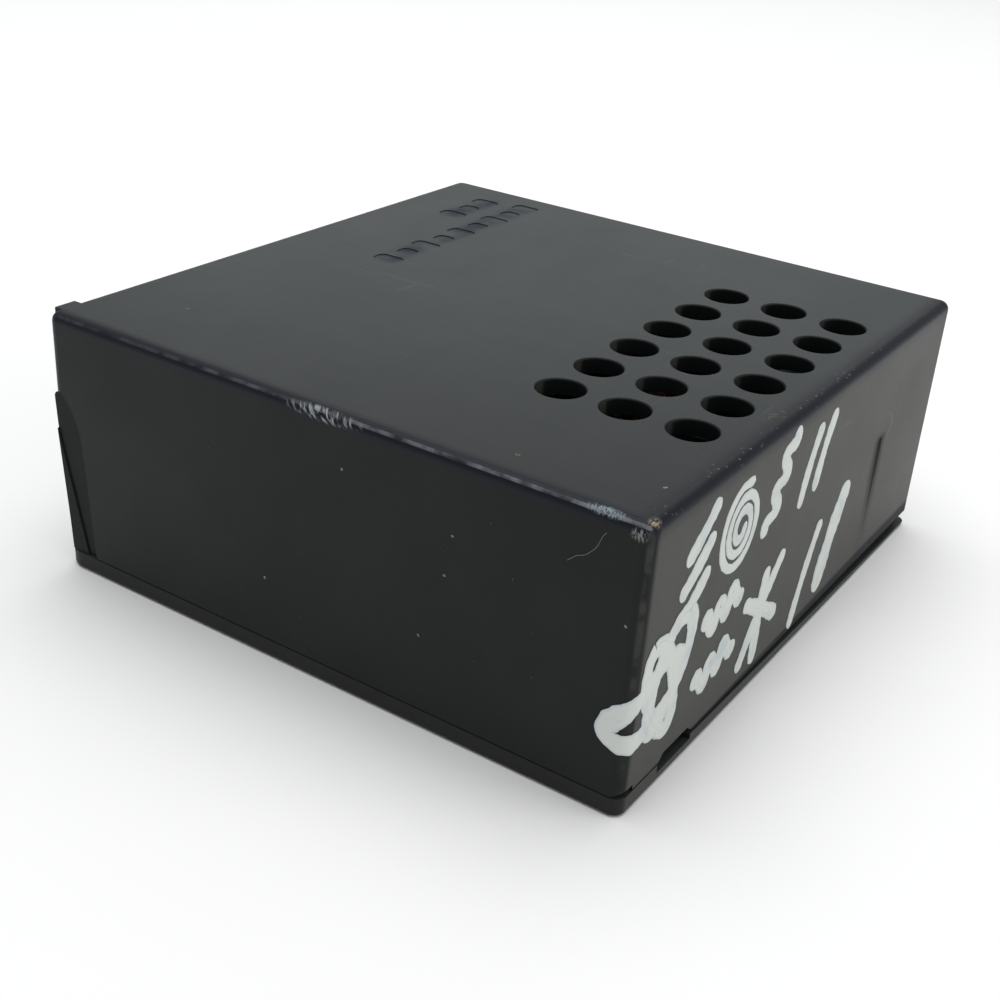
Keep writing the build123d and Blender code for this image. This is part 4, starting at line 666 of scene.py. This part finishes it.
def scatter_dirt():
    """Crumbs on the front side and roof, and one thin fibre caught on the front side."""
    pale = dust_material("pale_crumbs", (0.34, 0.32, 0.28), (0.20, 0.18, 0.15))
    brown = dust_material("brown_crumbs", (0.22, 0.15, 0.09), (0.10, 0.07, 0.05))
    on_front = (  # x, z and size
        (-8.4, 12.9, 0.30), (5.1, 34.2, 0.22), (22.8, 30.8, 0.24),
        (21.9, 24.8, 0.22), (18.3, 14.4, 0.28), (47.8, 27.8, 0.24),
    )
    spots = [((x, -SIDE_Y, z), FRONT, size) for x, z, size in on_front]
    spots += [((46.0, -41.8, ROOF_Z), TOP, 0.34), ((-36.3, -37.1, ROOF_Z), TOP, 0.22)]
    flecks("pale_flecks", spots, pale, 3)
    wild = random.Random(11)
    on_roof = [(27.9, -46.0, 0.40), (48.5, 18.7, 0.30)]  # x, y and size
    for _ in range(16):
        on_roof.append((END_X - wild.uniform(0.9, 2.6), wild.uniform(-40.0, 22.0), wild.uniform(0.10, 0.22)))
    for _ in range(7):
        on_roof.append((GRIT_X + wild.gauss(0, 0.9), GRIT_Y + wild.gauss(0, 1.3), wild.uniform(0.1, 0.24)))
    flecks("brown_flecks", [((x, y, ROOF_Z - 0.03), TOP, size) for x, y, size in on_roof], brown, 5)
    hook = ((44.1, 39.0), (43.6, 38.3), (42.9, 36.6), (41.6, 35.2), (40.4, 34.6), (39.3, 33.6))
    fibre = Shapes()
    fibre.add(*tube(smooth_path([(x, -SIDE_Y - 0.06, z) for x, z in hook], 0.25), FIBRE_RADIUS))
    dull = dust_material("dull_fibre", (0.13, 0.14, 0.12), (0.07, 0.08, 0.07))
    fibre.piece("stray_fibre", "cover", "shell_plastic", dull)


# ---------------------------------------------------------------- materials of the inner parts
def plain(name, colour, roughness, metallic=0.0, grain=1.2, contrast=0.25, rise=0.02):
    """One colour with mottling, uneven gloss and a fine surface."""
    g = Graph(name, Metallic=metallic)
    tone = g.noise(grain * 3, detail=4.0)
    fine = g.noise(grain * 0.3, detail=3.0, offset=(2, 9, 4))
    shade = g.blend(tone, tuple(c * (1 - contrast) for c in colour), colour)
    gloss = g.ramp(tone, 0.2, 0.8, roughness * 0.8, roughness * 1.05)
    gloss = g.math("ADD", gloss, g.times(fine, roughness * 0.2))
    return g.finish(shade, gloss, g.bump(fine, rise, 0.35))


def brushed(name, colour, roughness, stretch):
    """Bare metal with brushing or drawing lines along one direction and a few dull stains."""
    g = Graph(name, Metallic=1.0)
    lines = g.noise(0.35, detail=3.0, roughness=0.7, stretch=stretch)
    stain = g.noise(3.0, detail=4.0, offset=(5, 2, 8))
    shade = g.blend(g.times(g.ramp(stain, 0.45, 0.8), 0.5), colour, tuple(c * 0.55 for c in colour))
    shade = g.blend(g.times(lines, 0.25), shade, tuple(c * 0.75 for c in colour))
    gloss = g.math("ADD", g.ramp(stain, 0.3, 0.8, roughness, roughness * 1.5), g.times(lines, 0.12))
    return g.finish(shade, gloss, g.bump(lines, 0.02, 0.4))


LANE_PITCH = 1.27  # between neighbouring copper runs
RUN_BLOCK = 9.0  # length of the pieces that a lane is cut into
PATCH_X, PATCH_Y = 15.24, 12.7  # size of the areas in which all runs go the same way
HOLE_PITCH = 2.54


def solder_mask():
    """Green solder mask over copper runs on a fine grid, with tinned vias and bare laminate edges."""
    g = Graph("solder_mask", Specular_IOR_Level=0.5)

    def runs(along, across, seed):
        lane = g.math("DIVIDE", across, LANE_PITCH)
        row = g.math("FLOOR", lane)
        shifted = g.math("ADD", g.math("DIVIDE", along, RUN_BLOCK), g.math("MULTIPLY", row, 0.37))
        lit = g.math("GREATER_THAN", g.chance(row, g.math("FLOOR", shifted), seed), 0.42)
        from_centre = g.math("ABSOLUTE", g.math("SUBTRACT", g.math("FRACT", lane), 0.5))
        return g.times(lit, g.ramp(from_centre, 0.22, 0.17))

    patch_x = g.math("FLOOR", g.math("DIVIDE", g.x, PATCH_X))
    patch_y = g.math("FLOOR", g.math("DIVIDE", g.y, PATCH_Y))
    turned = g.math("GREATER_THAN", g.chance(patch_x, patch_y, 3.0), 0.5)
    along_x = g.times(runs(g.x, g.y, 1.0), turned)
    along_y = g.times(runs(g.y, g.x, 2.0), g.math("SUBTRACT", 1.0, turned))
    copper = g.math("ADD", along_x, along_y)
    shifted = (g.math("ADD", axis, HOLE_PITCH / 2) for axis in (g.x, g.y))
    hole_x, hole_y = (g.math("DIVIDE", axis, HOLE_PITCH) for axis in shifted)
    from_hole = [g.math("SUBTRACT", g.math("FRACT", hole), 0.5) for hole in (hole_x, hole_y)]
    from_hole = g.vector("LENGTH", g.point(*from_hole))
    via_here = g.math("GREATER_THAN", g.chance(g.math("FLOOR", hole_x), g.math("FLOOR", hole_y), 7.0), 0.90)
    via = g.times(via_here, g.ramp(from_hole, 0.22, 0.19))
    # Black at the middle of each via: painted shade standing for its hole.
    drill = g.times(via_here, g.ramp(from_hole, 0.10, 0.08))
    tone = g.noise(12.0, detail=4.0)
    colour = g.blend(tone, (0.012, 0.085, 0.040), (0.016, 0.110, 0.050))
    colour = g.blend(g.times(copper, 0.75), colour, (0.030, 0.170, 0.070))
    colour = g.blend(via, colour, (0.52, 0.50, 0.44))
    colour = g.blend(drill, colour, (0.01, 0.01, 0.01))
    flux = g.ramp(g.noise(7.0, detail=5.0, offset=(4, 4, 1)), 0.55, 0.8, 0.0, 0.25)
    colour = g.blend(flux, colour, (0.16, 0.13, 0.06))
    edge = g.ramp(g.math("ABSOLUTE", g.facing(2)), 0.6, 0.3)
    colour = g.blend(edge, colour, (0.22, 0.25, 0.13))
    height = g.math("ADD", g.times(copper, 0.8), g.times(g.noise(0.4, detail=2.0), 0.2))
    return g.finish(colour, g.ramp(tone, 0.2, 0.8, 0.26, 0.4), g.bump(height, 0.04, 0.8), g.times(via, 0.8))


def wound(name, colour, pitch, centres=None):
    """Enamelled wire: turns stacked along Z, or lying round a ring about a centre."""
    g = Graph(name, Metallic=0.85)
    if centres is None:
        turn = g.math("DIVIDE", g.z, pitch)
    else:
        x, y = (g.math("SUBTRACT", axis, offset) for axis, offset in zip((g.x, g.y), centres))
        turn = g.math("DIVIDE", g.math("ARCTAN2", y, x), pitch)
    from_centre = g.math("ABSOLUTE", g.math("SUBTRACT", g.math("FRACT", turn), 0.5))
    profile = g.ramp(from_centre, 0.5, 0.0)
    tone = g.noise(1.6, detail=4.0)
    shade = g.blend(tone, tuple(c * 0.6 for c in colour), colour)
    # Darker between the turns: painted shade in the grooves between the wires.
    shade = g.blend(g.ramp(from_centre, 0.34, 0.5, 0.0, 0.8), shade, tuple(c * 0.12 for c in colour))
    return g.finish(shade, g.ramp(tone, 0.2, 0.8, 0.24, 0.4), g.bump(profile, 0.25, 0.9))


def relay_plate():
    """Nickel-plated armature and yoke steel with fine lines and rub marks."""
    g = Graph("relay_steel", Metallic=1.0)
    lines = g.noise(0.4, detail=3.0, stretch=(5.0, 0.4, 1.0))
    rub = g.ramp(g.noise(2.6, detail=4.0), 0.5, 0.75)
    shade = g.blend(g.times(lines, 0.3), (0.58, 0.57, 0.54), (0.40, 0.40, 0.39))
    shade = g.blend(g.times(rub, 0.4), shade, (0.30, 0.27, 0.22))
    return g.finish(shade, g.math("ADD", 0.24, g.times(lines, 0.22)), g.bump(lines, 0.02, 0.4))


def printed_sleeve():
    """Glossy navy shrink sleeve that has shrunk a little unevenly."""
    g = Graph("shrink_sleeve", Specular_IOR_Level=0.5)
    pull = g.noise(2.2, detail=3.0, stretch=(1, 1, 4))
    shade = g.blend(pull, (0.010, 0.022, 0.075), (0.016, 0.036, 0.105))
    return g.finish(shade, g.ramp(pull, 0.2, 0.8, 0.18, 0.32), g.bump(pull, 0.12, 0.5))


def choke_centre():
    """The x and y of the ring choke's middle."""
    low, high = extent([p for part in loose_parts("choke_core") for p in part])
    return ((low.x + high.x) / 2, (low.y + high.y) / 2)


# ---------------------------------------------------------------- details inside
SOLDER_RINGS = ((0.42, 0.0), (0.30, 0.10), (0.12, 0.32), (0.02, 0.55))  # how far each ring spreads and stands
SOLDERED = (
    "small_chip_leads", "disc_leads", "axial_part_leads", "transistor_leads", "device_leads",
    "main_socket_contacts", "power_socket_blades",
)
RING_TINTS = {
    "brown": (0.11, 0.035, 0.012), "red": (0.38, 0.02, 0.02), "orange": (0.62, 0.17, 0.02),
    "yellow": (0.66, 0.50, 0.04), "violet": (0.14, 0.05, 0.24), "gold": (0.52, 0.36, 0.12),
    "silver": (0.50, 0.50, 0.50),
}
VALUE_RINGS = ("brown", "red", "orange", "yellow", "violet")
OUTLINED = (
    "processor_socket", "driver_chips", "memory_chip", "relay_bases", "film_capacitors", "heat_sink",
    "trimmer_body", "reset_button_body", "crystal_can", "resistors", "diodes",
)
INK_WIDTH, INK_RISE = 0.18, 0.02  # of the printed outlines on the board
CHIP_INK_RISE = 0.015


def solder_fillets(material):
    """A cone of solder where each lead meets the board."""
    sides = 10
    solder = Shapes()
    for node in SOLDERED:
        for part in loose_parts(node):
            foot = [p for p in part if p.z < BOARD_TOP + 0.5]
            if not foot:
                continue
            low, high = extent(foot)
            centre, half = (low + high) / 2, (high - low) / 2
            cone = []
            for spread, rise in SOLDER_RINGS:
                cone += oval(centre, half.x + spread, half.y + spread, BOARD_TOP + rise, sides)
            solder.add(cone, grid_faces(len(SOLDER_RINGS), sides, True))
    solder.piece("solder_fillets", "base", "tinned_metal", material)


def band(centre, axis, radius, width, sides=20):
    """Vertices and faces of a thin sleeve round an axis (0 for X, 1 for Y, 2 for Z)."""
    others = [k for k in range(3) if k != axis]
    vertices = []
    for offset, reach in ((-0.5, -0.03), (-0.42, 0.0), (0.42, 0.0), (0.5, -0.03)):
        for k in range(sides):
            angle = math.tau * k / sides
            corner = list(centre)
            corner[axis] += offset * width
            corner[others[0]] += (radius + reach) * math.cos(angle)
            corner[others[1]] += (radius + reach) * math.sin(angle)
            vertices.append(corner)
    return vertices, grid_faces(4, sides, True)


def colour_bands():
    """Painted code rings round the resistors and the cathode ring of each diode."""
    rings = {name: Shapes() for name in RING_TINTS}

    def put(name, centre, axis, shift, radius, width):
        spot = list(centre)
        spot[axis] += shift
        rings[name].add(*band(spot, axis, radius, width))

    pick = random.Random(4)
    for low, high in part_extents("resistors"):
        size, centre = high - low, (low + high) / 2
        axis = 0 if size.x > size.y else 1
        on_end_cap, on_waist = size.z / 2 + 0.03, size.z / 2 - 0.17
        for share, radius in ((-0.38, on_end_cap), (-0.13, on_waist), (0.03, on_waist)):
            put(VALUE_RINGS[pick.randrange(5)], centre, axis, share * size[axis], radius, 0.6)
        put("gold", centre, axis, 0.38 * size[axis], on_end_cap, 0.55)
    for low, high in part_extents("diodes"):
        put("silver", (low + high) / 2, 0, 0.3 * (high.x - low.x), (high.z - low.z) / 2 + 0.02, 0.8)
    for name, shapes in rings.items():
        if shapes.points:
            gloss = plain(f"ring_{name}", RING_TINTS[name], 0.3)
            shapes.piece(f"rings_{name}", "base", "resistor_body", gloss)


def capacitor_stripes():
    """The pale stripe with dark dashes down each capacitor's sleeve, beside its negative lead."""
    g = Graph("stripe_print", Specular_IOR_Level=0.5)
    from_dash = g.math("ABSOLUTE", g.math("SUBTRACT", g.math("FRACT", g.math("DIVIDE", g.z, 4.2)), 0.5))
    dash = g.ramp(from_dash, 0.24, 0.22)
    inside = g.ramp(g.math("ABSOLUTE", g.attribute("across")["Fac"]), 0.42, 0.36)
    tone = g.noise(1.0, detail=3.0)
    pale = g.blend(tone, (0.50, 0.53, 0.55), (0.60, 0.62, 0.63))
    colour = g.blend(g.times(dash, inside), pale, (0.05, 0.07, 0.13))
    material = g.finish(colour, 0.35, g.bump(tone, 0.01, 0.3))
    stripes, across = Shapes(), []
    columns, half_width = 9, 0.42  # the half width is in radians
    for node in ("large_capacitor_sleeves", "small_capacitor_sleeves"):
        for order, (low, high) in enumerate(part_extents(node)):
            centre, radius = (low + high) / 2, (high.x - low.x) / 2 + 0.03
            facing = math.radians(-62 + 47 * order)
            points = []
            for z in (low.z + 0.4, high.z - 0.6):
                for k in range(columns):
                    t = 2 * k / (columns - 1) - 1
                    angle = facing + t * half_width
                    x, y = centre.x + radius * math.cos(angle), centre.y + radius * math.sin(angle)
                    points.append((x, y, z))
                    across.append(t)
            stripes.add(points, grid_faces(2, columns))
    piece = stripes.piece("capacitor_stripes", "base", "sleeve_blue", material)
    point_attribute(piece, "across", across)


def rectangle(x0, y0, x1, y1, z):
    return [(x0, y0, z), (x1, y0, z), (x1, y1, z), (x0, y1, z)]


def board_legend():
    """White printed outlines round the parts on the board, and short bars beside them."""
    z = BOARD_TOP + INK_RISE
    outline = [(k, (k + 1) % 4, 4 + (k + 1) % 4, 4 + k) for k in range(4)]
    legend = Shapes()
    tick = random.Random(8)
    for node in OUTLINED:
        leads_stand_out = node in ("driver_chips", "memory_chip")
        gap = 1.6 if leads_stand_out else 0.5
        for low, high in part_extents(node):
            x0, y0, x1, y1 = low.x - gap, low.y - gap, high.x + gap, high.y + gap
            outside = rectangle(x0 - INK_WIDTH, y0 - INK_WIDTH, x1 + INK_WIDTH, y1 + INK_WIDTH, z)
            legend.add(rectangle(x0, y0, x1, y1, z) + outside, outline)
            for k in range(3):
                x, y = low.x + 0.3 + k * 0.9, y1 + 0.75
                legend.add(rectangle(x, y, x + 0.45, y + tick.uniform(0.5, 0.9), z), [(0, 1, 2, 3)])
    for low, high in part_extents("large_capacitor_sleeves", "small_capacitor_sleeves", "choke_core"):
        centre, radius = (low + high) / 2, (high.x - low.x) / 2 + 1.2
        rim = radius + INK_WIDTH
        circles = oval(centre, radius, radius, z, 40) + oval(centre, rim, rim, z, 40)
        legend.add(circles, grid_faces(2, 40, True))
    white = plain("legend_ink", (0.62, 0.63, 0.60), 0.6)
    legend.piece("board_legend", "base", "board_laminate", white, smooth=False)


def chip_prints():
    """Rows of plain bars and a pin-one dot printed on the tops of the chips."""
    prints = Shapes()
    tick = random.Random(21)
    for node, rows, bar in (("processor", 3, 1.4), ("driver_chips", 2, 1.0), ("memory_chip", 2, 0.8)):
        for low, high in part_extents(node):
            centre = (low + high) / 2
            z = high.z + CHIP_INK_RISE
            half_span = (high.y - low.y) * 0.28
            for row in range(rows):
                x = centre.x + (row - (rows - 1) / 2) * bar * 2.2
                y = centre.y - half_span
                while y < centre.y + half_span:
                    length = tick.uniform(0.5, 1.4) * bar
                    prints.add(rectangle(x - bar / 2, y, x + bar / 2, y + length, z), [(0, 1, 2, 3)])
                    y += length + 0.45 * bar
            prints.add(oval((high.x - 1.3, high.y - 1.3), 0.5, 0.5, z, 14), [tuple(range(14))])
    ink = plain("chip_ink", (0.30, 0.31, 0.31), 0.6)
    prints.piece("chip_prints", "base", "chip_epoxy", ink, smooth=False)


# ---------------------------------------------------------------- dressing the part
def dress_nodes():
    """Give every CAD node its material: some by node, the rest by slot. Returns the materials by slot."""
    tinned = brushed("tinned_leads", (0.66, 0.65, 0.62), 0.26, (1.0, 1.0, 3.0))
    by_node = {
        "cover": shell_plastic("cover_plastic", True),
        "base_tray": shell_plastic("tray_plastic", False),
        "relay_coils": wound("coil_wire", (0.62, 0.24, 0.09), 0.36),
        "choke_winding": wound("choke_wire", (0.66, 0.29, 0.10), math.tau / 44, choke_centre()),
        "relay_armature_a": relay_plate(),
        "trimmer_rotor": plain("trimmer_rotor_nylon", (0.66, 0.65, 0.60), 0.38),
        "reset_button_plunger": plain("plunger_nylon", (0.36, 0.03, 0.025), 0.35),
        "reset_button_plate": brushed("button_plate", (0.70, 0.70, 0.69), 0.28, (3.0, 0.5, 1.0)),
        "crystal_can": brushed("crystal_can_nickel", (0.70, 0.69, 0.66), 0.20, (1.0, 1.0, 4.0)),
        "device_tabs": tinned,
    }
    by_node["relay_armature_b"] = by_node["relay_yokes"] = by_node["relay_armature_a"]
    by_slot = {
        "board_laminate": solder_mask(),
        "steel": brushed("zinc_plate", (0.62, 0.61, 0.56), 0.30, (1.0, 1.0, 1.0)),
        "tinned_metal": tinned,
        "black_plastic": plain("socket_plastic", (0.012, 0.012, 0.013), 0.42),
        "ivory_plastic": plain("ivory_nylon", (0.62, 0.58, 0.46), 0.42, contrast=0.12),
        "chip_epoxy": plain("chip_epoxy", (0.020, 0.020, 0.022), 0.55, grain=0.7, rise=0.03),
        "aluminium": brushed("can_aluminium", (0.78, 0.78, 0.79), 0.26, (1.0, 1.0, 5.0)),
        "sink_aluminium": brushed("black_anodising", (0.050, 0.050, 0.055), 0.42, (1.0, 1.0, 6.0)),
        "sleeve_blue": printed_sleeve(),
        "film_yellow": plain("film_box", (0.70, 0.44, 0.05), 0.34, contrast=0.15),
        "disc_tan": plain("dipped_ceramic", (0.50, 0.25, 0.06), 0.32, rise=0.06),
        "surge_blue": plain("dipped_varistor", (0.020, 0.085, 0.30), 0.30, rise=0.06),
        "resistor_body": plain("resistor_lacquer", (0.56, 0.42, 0.24), 0.30, contrast=0.15),
        "diode_body": plain("diode_epoxy", (0.015, 0.015, 0.016), 0.40),
        "ferrite": plain("ferrite_coating", (0.030, 0.110, 0.055), 0.40, rise=0.05),
        "brass": brushed("plated_brass", (0.74, 0.55, 0.22), 0.26, (1.0, 1.0, 2.0)),
    }
    for entry in frame["record"]["subparts"]:
        node = entry["node"]
        slots = frame["nodes"][node].data.materials
        slots.clear()
        slots.append(by_node[node] if node in by_node else by_slot[entry["material_slot"]])
    return by_slot


by_slot = dress_nodes()
draw_marks()
scatter_dirt()
solder_fillets(by_slot["tinned_metal"])
colour_bands()
capacitor_stripes()
board_legend()
chip_prints()

# ---------------------------------------------------------------- camera, floor and light
CAMERA_PLACE = (109.96, -180.21, 116.68)  # millimetres
CAMERA_AZIMUTH, CAMERA_ELEVATION, CAMERA_ROLL = (math.radians(a) for a in (32.08, 27.37, 4.12))
CAMERA_LENS = 51.65  # millimetres, for a sensor this wide
SENSOR = 36.0
CLIP_START = 0.01  # metres
FLOOR_HALF = 4.0  # metres
FLOOR_DROP = 0.0001  # metres; keeps the floor clear of the tray's flat underside
FLOOR_PALE, FLOOR_PALER = (0.90, 0.90, 0.895), (0.91, 0.91, 0.905)
SKY_TINT, SKY_STRENGTH = (0.97, 0.985, 1.0, 1.0), 0.45


def set_camera():
    """Put the camera at its place, turned by its azimuth, elevation and roll."""
    data = bpy.data.cameras.new("camera")
    data.lens = CAMERA_LENS
    data.sensor_width = SENSOR
    data.clip_start = CLIP_START
    camera = bpy.data.objects.new("camera", data)
    bpy.context.scene.collection.objects.link(camera)
    flat = math.cos(CAMERA_ELEVATION)
    cos_azimuth, sin_azimuth = math.cos(CAMERA_AZIMUTH), math.sin(CAMERA_AZIMUTH)
    back = Vector((sin_azimuth * flat, -cos_azimuth * flat, math.sin(CAMERA_ELEVATION)))
    level = Vector((cos_azimuth, sin_azimuth, 0.0))
    right = level * math.cos(CAMERA_ROLL) + back.cross(level) * math.sin(CAMERA_ROLL)
    turn = Matrix((right, back.cross(right), back)).transposed().to_4x4()
    camera.matrix_world = Matrix.Translation(Vector(CAMERA_PLACE) * MM) @ turn
    bpy.context.scene.camera = camera


def lay_floor():
    """Lay a large pale sheet under the part."""
    mesh = bpy.data.meshes.new("floor")
    corners = [(x * FLOOR_HALF, y * FLOOR_HALF, -FLOOR_DROP) for x, y in ((-1, -1), (1, -1), (1, 1), (-1, 1))]
    mesh.from_pydata(corners, [], [(0, 1, 2, 3)])
    floor = bpy.data.objects.new("floor", mesh)
    bpy.context.scene.collection.objects.link(floor)
    g = Graph("floor_paper", Specular_IOR_Level=0.1, Roughness=0.9)
    mesh.materials.append(g.finish(g.blend(g.noise(60.0), FLOOR_PALE, FLOOR_PALER)))


def softbox(name, place, size, power, colour):
    """A large square area light aimed at the object."""
    data = bpy.data.lights.new(name, "AREA")
    data.shape = "SQUARE"
    data.size = size
    data.energy = power
    data.color = colour
    lamp = bpy.data.objects.new(name, data)
    lamp.location = place
    lamp.rotation_euler = Vector(place).to_track_quat("Z", "Y").to_euler()
    bpy.context.scene.collection.objects.link(lamp)


def light_studio():
    """Soft light from above, behind and beyond the closed end, in a pale surround."""
    softbox("light_above", (-0.1, 0.1, 1.3), 1.4, 15.0, (1.0, 1.0, 1.0))
    softbox("light_back", (-0.8, 1.3, 0.7), 1.2, 1.6, (0.94, 0.98, 1.0))
    softbox("light_end", (1.5, 0.6, 0.6), 1.0, 5.0, (1.0, 0.99, 0.95))
    world = bpy.data.worlds.new("studio")
    world.use_nodes = True
    background = world.node_tree.nodes["Background"].inputs
    background["Color"].default_value = SKY_TINT
    background["Strength"].default_value = SKY_STRENGTH
    bpy.context.scene.world = world
    bpy.context.scene.view_settings.view_transform = "Standard"


set_camera()
lay_floor()
light_studio()
